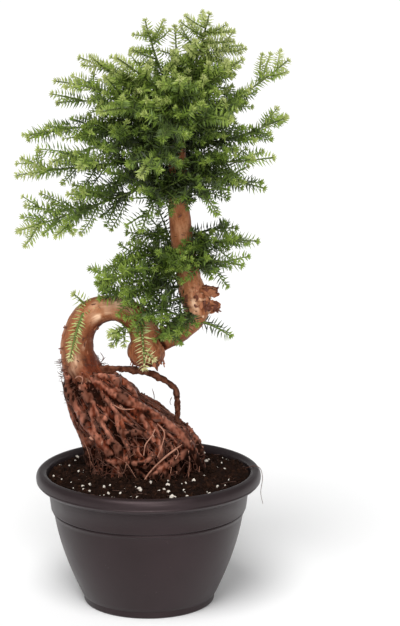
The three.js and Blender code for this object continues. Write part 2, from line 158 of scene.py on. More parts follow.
# Habits of some masses, which change the rules of the finer twigs
SPREAD = dict(pitch=11, most=10, first=0.2, last=0.9, least=22, angle=1.4, angle_tip=1.1)
WIDE = dict(SPREAD, pitch=7, most=16, least=31)
WIDE_GROUPS = ("top_right",)
BUSHY = dict(pitch=11, most=8, first=0.06, last=0.95, least=24, longest=40)
BUSHY_GROUPS = ("low_left", "mid")
OPEN = dict(pitch=26, most=4, last=0.7, share=0.32)
OPEN_GROUPS = ("t1_right", "t2_left", "t2_right", "t3_left", "t4_left", "low_right")
FULL = dict(pitch=12, most=10, last=0.95, least=26)
FULL_GROUPS = ("t1_left", "t3_right", "t4_right")
# One bunch inside the arch, and short sprays that stand before the stem
BUNCH = dict(FILL, pitch=5, most=8, first=0.2, last=0.95, least=76, longest=76, roll_spread=3.1)
BUNCH_GROUPS = ("arch_inner",)
CLOAK = dict(FILL, pitch=4, most=14, first=0.16, last=0.36, least=30, longest=38, angle=1.7, angle_tip=2.0)
CLOAK_GROUPS = ("low_left", "low_right", "low_left_front", "low_right_front",
                "t1_front_left", "t1_front_right")
# Bark and sky that show from the front: no twig comes near these lines
BARE = [((50, 0, 318), (47, -70, 332), 17), ((-42, 0, 303), (-44, -70, 317), 13),
        ((56, 70, 383), (56, -70, 412), 17), ((-46, 60, 354), (-46, -60, 379), 18),
        ((-85, 70, 487), (-85, -70, 516), 13), ((99, 70, 524), (99, -70, 553), 12),
        ((99, 70, 483), (99, -70, 512), 12), ((25, 60, 559), (25, -60, 584), 10)]
CLEAR = 1.5

# Needles along a spray, in the bud at its end, and high in the crown
NEEDLE = SimpleNamespace(
    per_mm=1.1, width=2.1, thickness=0.9, belly=0.35, curl=0.04, angle=1.34, angle_tip=1.2, taper=9,
    end_angle=1.0, end_length=0.55, twist=0.7, full_width_at=6)
BUD = SimpleNamespace(count=12, length=0.48, angle=1.3)
HIGH = SimpleNamespace(low=470, high=580, shorter=0.24, denser=0.35, narrower=0.05)
# Tints: steps by place in the crown (painted shade and light) and along a spray, and how much lighter some
# masses are
TONE = SimpleNamespace(
    heart=0.1, rim=3.1, rim_at=125, depth_share=0.6, top=2.8, top_low=474, top_high=568,
    end=0.8, along=1.7, middle=0.6, needle_spread=0.35, spray_spread=0.5)
# Shoots on the burl, heel and arch are lighter by their own pale colour; the tiers and the right side of the
# crown are lighter as painted light
LIGHTER = dict(t1=0.35, t2=0.3, top=0.3, t5=0.2, low=1.2, mid=0.8, burl=1.2, heel=4.6, arch=2.2,
               arch_inner=1.4, t1_right=0.9, t2_right=0.9, t3_right=0.7)
TINT_RANGE = dict(low=(0, 3), mid=(0, 3), heel_droop=(5, 6), arch_droop=(5, 6))
PLAIN_RANGE = (0, 5)
# Base colours of the needles, from painted shade in the heart of the crown to the fresh tips
TINTS = [
    ("shade", 0x1f290a, 0x2b380f), ("dark", 0x344513, 0x435619), ("mid", 0x51671f, 0x617728),
    ("fresh", 0x748932, 0x84983f), ("light", 0x8e9d4e, 0x9daa5c), ("tip", 0xa4ae68, 0xb3ba79),
    ("straw", 0xb0ad70, 0xc8c290),
]

# Roots that show on the front of the flare: radius and places (x, z) on its surface
FRONT_ROOTS = [
    (5.5, ((-82, 238), (-80, 222), (-69, 201), (-60, 185), (-46, 170), (-39, 158))),
    (6.0, ((-55, 236), (-41, 224), (-29, 217), (-7, 204), (11, 193), (29, 179), (44, 158), (52, 138))),
    (4.2, ((-10, 203), (-5, 194), (0, 184), (5, 172))),
    (3.8, ((-28, 178), (-19, 182), (-7, 182), (4, 176))),
    (4.6, ((44, 160), (35, 157), (24, 151), (11, 144), (4, 136))),
    (3.4, ((-59, 222), (-55, 210), (-50, 197), (-44, 187), (-36, 172))),
    (3.6, ((-71, 232), (-63, 220), (-57, 206), (-55, 190), (-50, 166))),
    (3.6, ((-46, 170), (-37, 173), (-31, 166), (-28, 150))),
    (3.2, ((-27, 164), (-21, 153), (-7, 152), (6, 160))),
    (3.4, ((-50, 160), (-39, 152), (-29, 151), (-20, 140))),
    (3.0, ((-33, 206), (-31, 194), (-29, 187), (-22, 170))),
    (4.4, ((30, 180), (42, 174), (50, 160), (54, 140))),
    (4.6, ((-56, 239), (-42, 235), (-26, 227), (-16, 217), (-10, 207), (5, 195), (25, 184), (40, 172),
           (46, 156))),
    (4.8, ((-83, 232), (-82, 218), (-77, 200), (-70, 180), (-62, 160), (-58, 140))),
]
PALE_ROOTS = [
    (1.1, ((34, 168), (20, 160), (8, 150), (0, 141), (-4, 135))),
    (0.8, ((9, 189), (3, 179), (-3, 171), (-5, 160))),
    (0.8, ((9, 190), (16, 181), (13, 168), (9, 158))),
    (0.7, ((-36, 211), (-27, 206), (-17, 205), (-9, 205), (-2, 199))),
    (0.7, ((-74, 235), (-70, 238), (-66, 236), (-67, 230))),
    (0.6, ((26, 168), (30, 160), (24, 150), (22, 140))),
]
# Thin roots that hang free, the last one over the rim: radius, count of rings and places
FREE_ROOTS = [
    (0.5, 20, ((4, -1, 222), (6, -2, 214), (5, -3, 206), (7, -2, 199))),
    (0.5, 20, ((-48, -6, 261), (-45, -8, 256), (-47, -10, 252), (-43, -11, 257))),
    (0.5, 20, ((24, -3, 214), (22, -4, 209), (23, -3, 205))),
    (0.45, 40, ((98, 6, 135), (108, 3, 138.6), (114.5, 1, 136), (116.6, 0, 126), (114.8, -2, 112),
                (117, -3, 100))),
]
# How many roots and scraps of each kind the flare has
STRANDS, CROSSING, KNOTS, SCRAPS, CREEPING, HAIRS = 120, 70, 14, 900, 240, 700
# Bark: depth of each kind of relief, how much darker some places are (the neck and heel by their own colour,
# creases, undersides and the inside of the arch by painted shade), and heights where the looks change
BARK_RELIEF = SimpleNamespace(
    plates=0.45, fibres=0.22, rings=0.2, torn=1.3, crease=3.2, ridges=1.5, grooves=1.1)
BARK_AGE_AND_SHADE = SimpleNamespace(neck=0.85, heel=0.3, crease=0.8, under=0.7, inner=0.75)
NECK_FADE, HEEL_FADE, TOP_HIGHLIGHT_FADE, LOW_BARK = (236, 264), (266, 280), (268, 296), 330
# Right end of the painted highlight on the upper faces, and right end and top of the painted shade inside
# the arch
TOP_HIGHLIGHT_END, INNER_SHADE_END, INNER_SHADE_TOP = 10, -45, 304
# How many loose plates each part of the trunk sheds
SHED = SimpleNamespace(peg=30, peg_end=12, heel=22, rise=26, burl=26)
# Soil on the roots: how dark it makes patches, the low part, small spots and the right foot
SOILED = SimpleNamespace(patches=0.6, low=0.85, spots=0.6, foot=0.6)
# Painted highlights on the front of the trunk: place (x, z), width and height
FRONT_HIGHLIGHTS = [(47, 312, 5, 11), (-75, 253, 5, 11), (-51, 300, 7, 6), (-43, 307, 8, 5), (-32, 311, 9, 4)]
# Dark scars on the front of the trunk: place (x, z) and length
SCARS = [(-54, 311, 5), (33, 399, 6), (29, 411, 4), (36, 380, 4)]

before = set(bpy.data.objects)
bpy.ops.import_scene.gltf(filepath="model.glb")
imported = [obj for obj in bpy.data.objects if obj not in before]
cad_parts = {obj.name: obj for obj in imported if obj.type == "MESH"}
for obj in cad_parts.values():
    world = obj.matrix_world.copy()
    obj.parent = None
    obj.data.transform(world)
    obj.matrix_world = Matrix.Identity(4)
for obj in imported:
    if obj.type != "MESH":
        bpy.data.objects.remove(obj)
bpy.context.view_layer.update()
scene = bpy.context.scene


# Numbers and noise
def seeded(seed):
    """Repeatable numbers from 0 to 1, the same as in the part's source."""
    mask = 0xFFFFFFFF
    state = (seed * 2654435761) & mask

    def draw():
        nonlocal state
        state = (state + 0x6D2B79F5) & mask
        t = ((state ^ (state >> 15)) * (state | 1)) & mask
        t = ((t + ((t ^ (t >> 7)) * (t | 61) & mask)) & mask) ^ t
        return ((t ^ (t >> 14)) & mask) / 4294967296

    return draw


def smoothstep(x, low, high):
    t = np.clip((x - low) / (high - low), 0, 1)
    return t * t * (3 - 2 * t)


def noise(points, seed=0):
    """Smooth lattice noise from -1 to 1, one lump to a unit."""
    cell = np.floor(points).astype(np.int64)
    part = points - cell
    part = part * part * (3 - 2 * part)
    total = np.zeros(len(points))
    for corner in product((0, 1), repeat=3):
        key = (cell + corner) @ np.array([374761393, 668265263, 1440662683]) + seed * 974634777
        key = ((key ^ (key >> 13)) & 0xFFFFFFFF) * 1274126177 & 0xFFFFFFFF
        value = ((key ^ (key >> 16)) & 0xFFFF) / 32767.5 - 1
        total += value * np.prod(np.where(corner, part, 1 - part), axis=1)
    return total


def fractal(points, octaves, seed=0):
    return sum(noise(points * 2 ** k, seed + k) * 0.5 ** k for k in range(octaves))


def patches(points, size, seed, low, high):
    """Soft patches of this size, from 0 to 1."""
    return smoothstep(noise(points / size, seed), low, high)


def unit(vectors):
    vectors = np.asarray(vectors, float)
    return vectors / np.maximum(np.linalg.norm(vectors, axis=-1, keepdims=True), 1e-9)


def norm(vectors):
    return np.linalg.norm(vectors, axis=-1)


def dot(a, b):
    return np.einsum("ij,ij->i", a, b)


# Lines and skins
class Line:
    """A line of close points, read at shares of its length."""

    def __init__(self, points):
        self.points = np.asarray(points, float)
        steps = norm(np.diff(self.points, axis=0))
        self.marks = np.concatenate([[0], np.cumsum(steps)])
        self.length = self.marks[-1]

    def at(self, shares):
        marks = np.asarray(shares, float) * self.length
        return np.stack([np.interp(marks, self.marks, self.points[:, i]) for i in range(3)], axis=-1)

    def heading(self, shares, step=0.004):
        shares = np.asarray(shares, float)
        return unit(self.at(np.minimum(shares + step, 1)) - self.at(np.maximum(shares - step, 0)))


def straight(start, end, count):
    start, end = np.array(start), np.array(end)
    return Line([start + (end - start) * share for share in np.linspace(0, 1, count)])


def bezier(*controls, samples=120):
    t = np.linspace(0, 1, samples + 1)[:, None]
    rows = [np.repeat(np.asarray(c, float)[None], samples + 1, axis=0) for c in controls]
    while len(rows) > 1:
        rows = [a * (1 - t) + b * t for a, b in zip(rows, rows[1:])]
    return Line(rows[0])


def spline(places, samples=12):
    """A smooth line through the places."""
    p = np.asarray(places, float)
    p = np.vstack([2 * p[0] - p[1], p, 2 * p[-1] - p[-2]])
    t = np.linspace(0, 1, samples, endpoint=False)[:, None]
    rows = []
    for a, b, c, d in zip(p, p[1:], p[2:], p[3:]):
        rows.append(0.5 * (2 * b + (c - a) * t + (2 * a - 5 * b + 4 * c - d) * t ** 2
                           + (3 * b - a - 3 * c + d) * t ** 3))
    return Line(np.vstack([*rows, p[-2:-1]]))


def frames(headings):
    """Directions across a line that turn with it as little as they can."""
    first = np.eye(3)[np.argmin(np.abs(headings[0]))]
    across = [unit(np.cross(headings[0], first))]
    for heading in headings[1:]:
        across.append(unit(across[-1] - heading * (across[-1] @ heading)))
    across = np.array(across)
    return across, np.cross(headings, across)


def round_angles(count):
    return TURN * np.arange(count) / count


def closed_faces(rows, columns):
    """Triangles of a closed skin: rows of points, each row a ring, with a lid on the first and last."""
    k, j = np.meshgrid(np.arange(rows - 1), np.arange(columns), indexing="ij")
    a, b = k * columns + j, k * columns + (j + 1) % columns
    sides = np.stack([a, b, b + columns, a, b + columns, a + columns], axis=-1).reshape(-1, 3)
    j = np.arange(1, columns - 1)
    lid = np.stack([np.zeros_like(j), j, j + 1], axis=-1)
    return np.vstack([sides, lid[:, ::-1], lid + (rows - 1) * columns])


def tube(line, radii, sides, shares=None):
    """A closed skin round a line."""
    count = len(radii)
    shares = np.linspace(0, 1, count) if shares is None else shares
    across, over = frames(line.heading(shares))
    angle = round_angles(sides)
    ring = across[:, None] * np.cos(angle)[None, :, None] + over[:, None] * np.sin(angle)[None, :, None]
    points = line.at(shares)[:, None] + ring * np.asarray(radii)[:, None, None]
    return points.reshape(-1, 3), closed_faces(count, sides)


def ball(centre, radii, rows=16, columns=24):
    polar = np.linspace(0.02, math.pi - 0.02, rows)[:, None]
    angle = round_angles(columns)
    points = np.stack(np.broadcast_arrays(
        np.sin(polar) * np.cos(angle), np.sin(polar) * np.sin(angle), -np.cos(polar)), axis=-1)
    return points.reshape(-1, 3) * radii + centre, closed_faces(rows, columns)


class Batch:
    """Many small forms joined into one mesh; kind is the index of a form's material."""

    def __init__(self):
        self.points, self.faces, self.kinds, self.count = [], [], [], 0

    def add(self, points, faces, kind=0):
        self.points.append(points)
        self.faces.append(faces + self.count)
        self.kinds.append(np.broadcast_to(kind, len(faces)))
        self.count += len(points)

    def mesh(self, name):
        points, faces = np.vstack(self.points), np.vstack(self.faces)
        mesh = bpy.data.meshes.new(name)
        mesh.vertices.add(len(points))
        mesh.vertices.foreach_set("co", (points * MM).astype(np.float32).ravel())
        mesh.loops.add(faces.size)
        mesh.loops.foreach_set("vertex_index", faces.astype(np.int32).ravel())
        mesh.polygons.add(len(faces))
        mesh.polygons.foreach_set("loop_start", np.arange(0, faces.size, 3, dtype=np.int32))
        mesh.polygons.foreach_set("material_index", np.concatenate(self.kinds).astype(np.int32))
        mesh.update(calc_edges=True)
        return mesh


def piece(mesh, materials, nodes=(), smooth=True):
    """A shown piece, named after its mesh, that rides on the body and stands for CAD nodes."""
    for material in materials:
        mesh.materials.append(material)
    mesh.polygons.foreach_set("use_smooth", np.full(len(mesh.polygons), smooth))
    made = bpy.data.objects.new(mesh.name, mesh)
    scene.collection.objects.link(made)
    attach(made, BODY)
    if nodes:
        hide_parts(*nodes)


def fused(batch, name, voxel, rounds):
    """One closed skin round overlapping forms."""
    source = bpy.data.objects.new(name, batch.mesh(name + "_forms"))
    scene.collection.objects.link(source)
    remesh = source.modifiers.new("fuse", "REMESH")
    remesh.mode = "VOXEL"
    remesh.voxel_size = voxel * MM
    soften = source.modifiers.new("soften", "SMOOTH")
    soften.factor = 0.5
    soften.iterations = rounds
    graph = bpy.context.evaluated_depsgraph_get()
    made = bpy.data.meshes.new_from_object(source.evaluated_get(graph))
    bpy.data.objects.remove(source)
    made.name = name
    return made


def places_of(mesh):
    """Places and normals of a mesh's points."""
    points, normals = np.empty((2, len(mesh.vertices) * 3), np.float32)
    mesh.vertices.foreach_get("co", points)
    mesh.vertex_normals.foreach_get("vector", normals)
    return points.reshape(-1, 3).astype(float) / MM, normals.reshape(-1, 3).astype(float)


def raise_skin(mesh, points, normals, relief):
    raised = points + normals * relief[:, None]
    mesh.vertices.foreach_set("co", (raised * MM).astype(np.float32).ravel())
    mesh.update()


def store(mesh, name, values):
    """Keeps a number or a vector for each point, which the finish reads."""
    kind, key = ("FLOAT", "value") if values.ndim == 1 else ("FLOAT_VECTOR", "vector")
    mesh.attributes.new(name, kind, "POINT").data.foreach_set(key, values.astype(np.float32).ravel())


def store_relief(mesh, rounds=14):
    """Keeps how far each point stands above its softened surroundings, in millimetres."""
    points, normals = places_of(mesh)
    edges = np.empty(len(mesh.edges) * 2, np.int32)
    mesh.edges.foreach_get("vertices", edges)
    a, b = edges.reshape(-1, 2).T
    count = len(points)
    degree = np.bincount(np.concatenate([a, b]), minlength=count)[:, None]
    soft = points
    for _ in range(rounds):
        total = [np.bincount(a, row[b], count) + np.bincount(b, row[a], count) for row in soft.T]
        soft = 0.4 * soft + 0.6 * np.stack(total, axis=-1) / degree
    store(mesh, "relief", dot(points - soft, normals))


# Materials
def colour(value):
    channels = [(value >> shift & 255) / 255 for shift in (16, 8, 0)]
    return [c / 12.92 if c <= 0.04045 else ((c + 0.055) / 1.055) ** 2.4 for c in channels] + [1]


class Finish:
    """A node material under construction."""

    def __init__(self, name, **values):
        self.material = bpy.data.materials.new(name)
        self.material.use_nodes = True
        self.tree = self.material.node_tree
        self.shader = self.tree.nodes["Principled BSDF"]
        for key, value in values.items():
            self.wear(value, key.replace("_", " "))

    def join(self, value, socket):
        """Sets a socket to a constant, or links it to another node."""
        if isinstance(value, bpy.types.NodeSocket):
            self.tree.links.new(value, socket)
        else:
            socket.default_value = value

    def wear(self, value, target):
        self.join(value, self.shader.inputs[target])

    def node(self, kind, inputs, **settings):
        made = self.tree.nodes.new(kind)
        for key, value in settings.items():
            setattr(made, key, value)
        for key, value in inputs.items():
            self.join(value, made.inputs[key])
        return made

    def place(self):
        return self.node("ShaderNodeTexCoord", {}).outputs["Object"]

    def stored(self, name, output="Fac"):
        return self.node("ShaderNodeAttribute", {}, attribute_name=name).outputs[output]

    def along_grain(self, scale):
        """Where a point is on its straightened limb, with this scale along the limb."""
        grain = self.stored("grain", "Vector")
        return self.node("ShaderNodeMapping", {"Vector": grain, "Scale": (1, 1, scale)}).outputs["Vector"]

    def noise(self, place, scale, detail=4, roughness=0.6):
        return self.node("ShaderNodeTexNoise", {
            "Vector": place, "Scale": scale, "Detail": detail, "Roughness": roughness}).outputs["Fac"]

    def ramp(self, factor, stops):
        made = self.node("ShaderNodeValToRGB", {"Fac": factor})
        elements = made.color_ramp.elements
        while len(elements) < len(stops):
            elements.new(0.5)
        for element, (position, value) in zip(elements, stops):
            element.position, element.color = position, colour(value)
        return made.outputs["Color"]

    def spread(self, value, low, high, to_low, to_high):
        return self.node("ShaderNodeMapRange", {
            "Value": value, "From Min": low, "From Max": high, "To Min": to_low, "To Max": to_high,
        }).outputs["Result"]

    def mix(self, factor, a, b, blend="MIX"):
        factor_input, a_input, b_input, colour_output = 0, 6, 7, 2
        inputs = {factor_input: factor, a_input: a, b_input: b}
        return self.node("ShaderNodeMix", inputs, data_type="RGBA", blend_type=blend).outputs[colour_output]

    def bump(self, height, strength, distance):
        normal = self.node("ShaderNodeBump", {"Height": height, "Strength": strength, "Distance": distance})
        self.wear(normal.outputs["Normal"], "Normal")


def grainy_finish(name, stops, broad, fine, rough, bump, **values):
    """Colour by broad noise, roughness and bumps by fine noise: each has a scale, detail and roughness."""
    finish = Finish(name, **values)
    place = finish.place()
    grain = finish.noise(place, *fine)
    finish.wear(finish.ramp(finish.noise(place, *broad), stops), "Base Color")
    finish.wear(finish.spread(grain, 0.3, 0.7, *rough), "Roughness")
    finish.bump(grain, *bump)
    return finish.material


def needle_finish(name, low, high):
    return grainy_finish("needles_" + name, [(0.3, low), (0.7, high)], broad=(90, 2), fine=(700, 2),
                         rough=(0.42, 0.62), bump=(0.25, 0.0003), IOR=1.45)


def twig_finish(name, low, high):
    return grainy_finish(name, [(0.3, low), (0.7, high)], broad=(420, 3), fine=(420, 3),
                         rough=(0.65, 0.85), bump=(0.4, 0.0004))


def soil_finish(name, low, middle, high):
    return grainy_finish(name, [(0.3, low), (0.52, middle), (0.74, high)], broad=(130, 5, 0.7),
                         fine=(800, 4, 0.7), rough=(0.82, 0.98), bump=(0.8, 0.001), Specular_IOR_Level=0.08)


def wood_finish(name, stops, scar_soil_and_shade, peel_and_highlight, fibre, streaks, peel, shine, gloss=0.5):
    """Bark or root: tone by noise along the grain, pale peeled spots, painted shade in crevices and a
    painted highlight on ridges; the tone of the roots where old bark and painted shade are stored, a painted
    highlight where stored, and dark and dull where soiled."""
    scar_soil_and_shade, peel_and_highlight = colour(scar_soil_and_shade), colour(peel_and_highlight)
    finish = Finish(name, Specular_IOR_Level=gloss, Specular_Tint=peel_and_highlight)
    along = finish.along_grain(fibre)
    tone, fibres = finish.noise(along, 0.11, 5), finish.noise(along, 0.7, 4, 0.7)
    streak = finish.ramp(fibres, [(0.3, 0x9a8577), (0.6, 0xffffff)])
    base = finish.mix(streaks, finish.ramp(tone, stops), streak, "MULTIPLY")
    # Root tone where old bark and painted shade are stored
    base = finish.mix(finish.stored("aged_and_shade"), base, finish.ramp(tone, ROOT_STOPS))
    peeled = finish.noise(finish.along_grain(0.6), 0.06, 4, 0.65)
    base = finish.mix(finish.spread(peeled, 0.58, 0.68, 0, peel), base, peel_and_highlight)
    scars = finish.noise(finish.along_grain(2.2), 0.22, 3, 0.75)
    base = finish.mix(finish.spread(scars, 0.6, 0.7, 0, 0.8), base, scar_soil_and_shade)
    relief, soiled = finish.stored("relief"), finish.stored("soiled")
    # Painted shade in crevices and painted highlight on ridges, read from the relief
    base = finish.mix(finish.spread(relief, -0.08, -0.8, 0, 0.95), base, scar_soil_and_shade)
    base = finish.mix(finish.spread(relief, 0.3, 1.6, 0, 0.55), base, peel_and_highlight)
    # Painted highlight where stored
    base = finish.mix(finish.stored("painted_highlight"), base, peel_and_highlight)
    finish.wear(finish.mix(soiled, base, scar_soil_and_shade), "Base Color")
    rough = finish.spread(tone, 0.3, 0.7, shine[1], shine[0])
    rough = finish.spread(soiled, 0, 1, rough, 0.9)
    finish.wear(finish.spread(relief, -0.3, 0.3, 0.95, rough), "Roughness")
    finish.bump(fibres, 0.25, 0.0004)
    return finish.material


def pot_finish():
    finish = Finish("pot_plastic", Specular_IOR_Level=0.45, Specular_Tint=colour(0xe2c9cb))
    place = finish.place()
    cloud, grain = finish.noise(place, 14, 5), finish.noise(place, 1400, 3)
    base = finish.ramp(cloud, [(0.35, 0x1c1617), (0.65, 0x251d1f)])
    dust = finish.spread(finish.noise(place, 260, 2, 0.8), 0.7, 0.76, 0, 0.35)
    finish.wear(finish.mix(dust, base, colour(0x4f4748)), "Base Color")
    finish.wear(finish.spread(cloud, 0.3, 0.7, 0.36, 0.5), "Roughness")
    finish.bump(grain, 0.12, 0.0003)
    return finish.material


ROOT_STOPS = [(0.28, 0x300d06), (0.5, 0x5e2716), (0.74, 0x8a4a31)]
BARK_STOPS = [(0.3, 0x6e3b23), (0.48, 0x9a5f3c), (0.7, 0xb8835f)]
AERIAL_STOPS = [(0.3, 0x2a130b), (0.5, 0x47261a), (0.74, 0x69402f)]
BARK = wood_finish("bark", BARK_STOPS, scar_soil_and_shade=0x38190d, peel_and_highlight=0xe6bd9c, fibre=0.4, streaks=0.4, peel=0.35,
                   shine=(0.16, 0.42))
ROOT = wood_finish("root", ROOT_STOPS, scar_soil_and_shade=0x0e0402, peel_and_highlight=0xbd806a, fibre=0.35, streaks=0.6, peel=0.3,
                   shine=(0.18, 0.4), gloss=0.55)
AERIAL = wood_finish("aerial_root", AERIAL_STOPS, scar_soil_and_shade=0x140804, peel_and_highlight=0x8a5c48, fibre=0.5, streaks=0.5,
                     peel=0.2, shine=(0.5, 0.8), gloss=0.35)
FLAKES = [twig_finish("flake_dark", 0x4a2315, 0x733e28), twig_finish("flake_mid", 0x854c30, 0xa86c48),
          twig_finish("flake_pale", 0xb98c6c, 0xd6b294)]
FINE_ROOTS = [twig_finish("pale_root", 0x85533f, 0xae7f69), twig_finish("hair_root", 0x3d1e14, 0x633825),
              twig_finish("root_rind", 0x5e2715, 0x8f5034)]
TWIGS = [twig_finish("twig_wood", 0x424d1e, 0x5a662c), twig_finish("twig_green", 0x495a20, 0x64762f)]
NEEDLES = [needle_finish(*tint) for tint in TINTS]
POT_PLASTIC = pot_finish()
SOIL_BASE = soil_finish("soil", 0x0c0603, 0x1a0e09, 0x301c13)
SOIL_CRUMBS = [soil_finish("soil_crumb", 0x0f0704, 0x20120b, 0x3a2317),
               twig_finish("coir_fibre", 0x301a12, 0x4e2d1e)]
PERLITE = grainy_finish("perlite", [(0.3, 0xb3a596), (0.6, 0xe2dbd0)], broad=(900, 3, 0.7),
                        fine=(900, 3, 0.7), rough=(0.75, 0.95), bump=(0.6, 0.0005))


# Pot and soil
def rounded(points, reach, steps=4):
    """An outline with a small round in place of each sharp corner."""
    points = np.asarray(points, float)
    rows = [points[:1]]
    for before, at, after in zip(points, points[1:], points[2:]):
        start, end = (at + unit(p - at) * min(reach, norm(p - at) * 0.45) for p in (before, after))
        rows.append(bezier(start, at, end, samples=steps).points)
    return np.vstack([*rows, points[-1:]])


def pot_outline():
    """Half outline of the pot, from the edge of its underside round the lip to the edge of its floor."""
    p = POT
    rim, top, throat = p.rim, p.height, p.collar_radius - p.wall
    foot_top, bowl_end = (p.foot + 3, p.foot_height + 0.5), (p.bowl_radius, p.bowl_top)
    collar_end, lip_side = (p.collar_radius, p.collar_top), (rim, top - 11)
    lip_top, lip_end = (rim - 3.4, top - 0.6), (rim - 10, top - 2)
    foot = [(0, 0), (p.foot, 0), (p.foot + 1.2, 1.2), (p.foot + 1.5, p.foot_height - 1), foot_top]
    bead = [(p.bowl_radius + out, p.bowl_top + up)
            for out, up in ((0, 0), (1.4, 1), (1.4, 2.4), (0.6, 3.2), (3, 4.6))]
    inner = [lip_end, (rim - 10.8, top - 6), (throat, p.collar_top), (throat - 2.8, p.bowl_top + 5)]
    return np.vstack([
        rounded(foot, 0.7)[1:-1],
        bezier(foot_top, (p.bend_radius, p.bend), bowl_end, samples=26).points,
        rounded([*bead, collar_end], 0.6)[1:-1],
        bezier(collar_end, (rim - 3.4, p.collar_top + 2), lip_side, samples=8).points,
        bezier(lip_side, (rim + 1.8, top - 3.4), lip_top, samples=8).points,
        bezier(lip_top, (rim - 7.4, top + 0.9), lip_end, samples=6).points,
        rounded(inner, 1.5)[1:],
        bezier((p.bowl_radius - p.wall, p.bowl_top), (p.bend_radius - p.wall, p.bend),
               (foot_top[0] - p.wall, foot_top[1] + p.wall * 0.6), samples=12).points,
        [(p.foot - 5, p.floor)]])


def make_pot():
    outline = pot_outline()
    angle = round_angles(POT.segments)
    points = np.stack([outline[:, :1] * np.cos(angle), outline[:, :1] * np.sin(angle),
                       np.repeat(outline[:, 1:], len(angle), axis=1)], axis=-1)
    batch = Batch()
    batch.add(points.reshape(-1, 3), closed_faces(len(outline), len(angle)))
    piece(batch.mesh("bowl_pot"), [POT_PLASTIC], ["pot"])


def soil_height(x, y):
    r = np.hypot(x, y)
    level = np.interp(r, [0, SOIL.plateau, SOIL.edge_radius], [SOIL.top, SOIL.top, SOIL.edge])
    away = ((x - HEAP.centre[0]) ** 2 + (y - HEAP.centre[1]) ** 2) / HEAP.spread ** 2
    flat = np.stack([x, y, np.zeros_like(x)], axis=-1)
    lumps = sum(high * fractal(flat / size, 2, seed) for high, size, seed in SOIL_LUMPS)
    calm = np.clip((SOIL.calm_radius - r) / SOIL.calm_reach, 0.3, 1)
    return level + HEAP.height * np.exp(-away) + lumps * calm


GOLDEN_RATIO = 1.618034
ICO_POINTS = unit([np.roll((0, a, b * GOLDEN_RATIO), turn)
                   for turn in (0, 2, 1) for a in (-1, 1) for b in (-1, 1)])


def ico_faces():
    """Every three corners that lie one edge apart, turned outward."""
    gap = norm(ICO_POINTS[:, None] - ICO_POINTS[None])
    close = (gap > 0) & (gap < 1.1)
    faces = []
    for a, b, c in combinations(range(len(ICO_POINTS)), 3):
        if close[a, b] and close[b, c] and close[a, c]:
            out = np.cross(ICO_POINTS[b] - ICO_POINTS[a], ICO_POINTS[c] - ICO_POINTS[a]) @ ICO_POINTS[a]
            faces.append((a, b, c) if out > 0 else (a, c, b))
    return np.array(faces)


ICO_FACES = ico_faces()


def add_grains(batch, rng, centres, sizes):
    """Irregular grains at the centres."""
    count, corners = len(centres), len(ICO_POINTS)
    turn = unit(rng.normal(size=(count, 3)))
    side = unit(np.cross(turn, rng.normal(size=(count, 3))))
    basis = np.stack([turn, side, np.cross(turn, side)], axis=1)
    stretch = sizes[:, None] * rng.uniform(0.6, 1.2, (count, 3))
    shape = ICO_POINTS[None] * rng.uniform(0.75, 1.2, (count, corners, 1)) * stretch[:, None]
    points = np.einsum("nij,njk->nik", shape, basis) + centres[:, None]
    faces = ICO_FACES[None] + corners * np.arange(count)[:, None, None]
    batch.add(points.reshape(-1, 3), faces.reshape(-1, 3))


def soil_places(rng, count, reach):
    angle, radius = rng.uniform(0, TURN, count), reach * np.sqrt(rng.uniform(0, 1, count))
    x, y = radius * np.cos(angle), radius * np.sin(angle)
    return np.stack([x, y, soil_height(x, y)], axis=-1)


def strew(batch, rng, count, reach, shape, scale, smallest, largest, lift):
    """Grains all over the soil."""
    places = soil_places(rng, count, reach)
    sizes = rng.gamma(shape, scale, count).clip(smallest, largest)
    places[:, 2] += lift * sizes
    add_grains(batch, rng, places, sizes)


def make_soil():
    angle = round_angles(SOIL.columns)
    radius = np.linspace(0.5, SOIL.edge_radius, SOIL.rows)[:, None]
    x, y = radius * np.cos(angle), radius * np.sin(angle)
    top = np.stack([x, y, soil_height(x.ravel(), y.ravel()).reshape(x.shape)], axis=-1)
    below = top[-1:] * (SOIL.underside_share, SOIL.underside_share, 0) + (0, 0, SOIL.underside)
    faces = closed_faces(SOIL.rows + 1, SOIL.columns)[:, ::-1]
    ground = Batch()
    ground.add(np.concatenate([top, below]).reshape(-1, 3), faces)
    piece(ground.mesh("soil_ground"), [SOIL_BASE], ["soil"])

    rng = np.random.default_rng(21)
    crumbs = Batch()
    strew(crumbs, rng, **CRUMBS)
    out = rng.uniform(0, 1, HEAPED.count)
    foot = flare_point(rng.uniform(0, TURN, HEAPED.count), np.zeros(HEAPED.count), 1)
    foot[:, :2] += (foot[:, :2] - FLARE.centre) * (HEAPED.reach * out - HEAPED.sink)[:, None]
    foot[:, 2] = soil_height(*foot.T[:2]) + rng.uniform(0, HEAPED.height, HEAPED.count) * (1 - out)
    sizes = rng.gamma(HEAPED.shape, HEAPED.scale, HEAPED.count).clip(HEAPED.smallest, HEAPED.largest)
    add_grains(crumbs, rng, foot, sizes)
    for place in soil_places(rng, **FIBRES):
        heading = rng.uniform(0, TURN)
        half = rng.uniform(2.5, 8)
        bow = rng.normal(0, 1.2, 3)
        reach = np.array([math.cos(heading), math.sin(heading), rng.normal(0, 0.2)]) * half
        centre = place + (0, 0, 0.7)
        line = bezier(centre - reach, centre + bow, centre + reach, samples=8)
        crumbs.add(*tube(line, np.linspace(0.45, 0.25, 6), 4), kind=1)
    piece(crumbs.mesh("soil_crumbs"), SOIL_CRUMBS, smooth=False)

    grains = Batch()
    strew(grains, rng, **WHITE_GRAINS)
    piece(grains.mesh("perlite_grains"), [PERLITE], smooth=False)


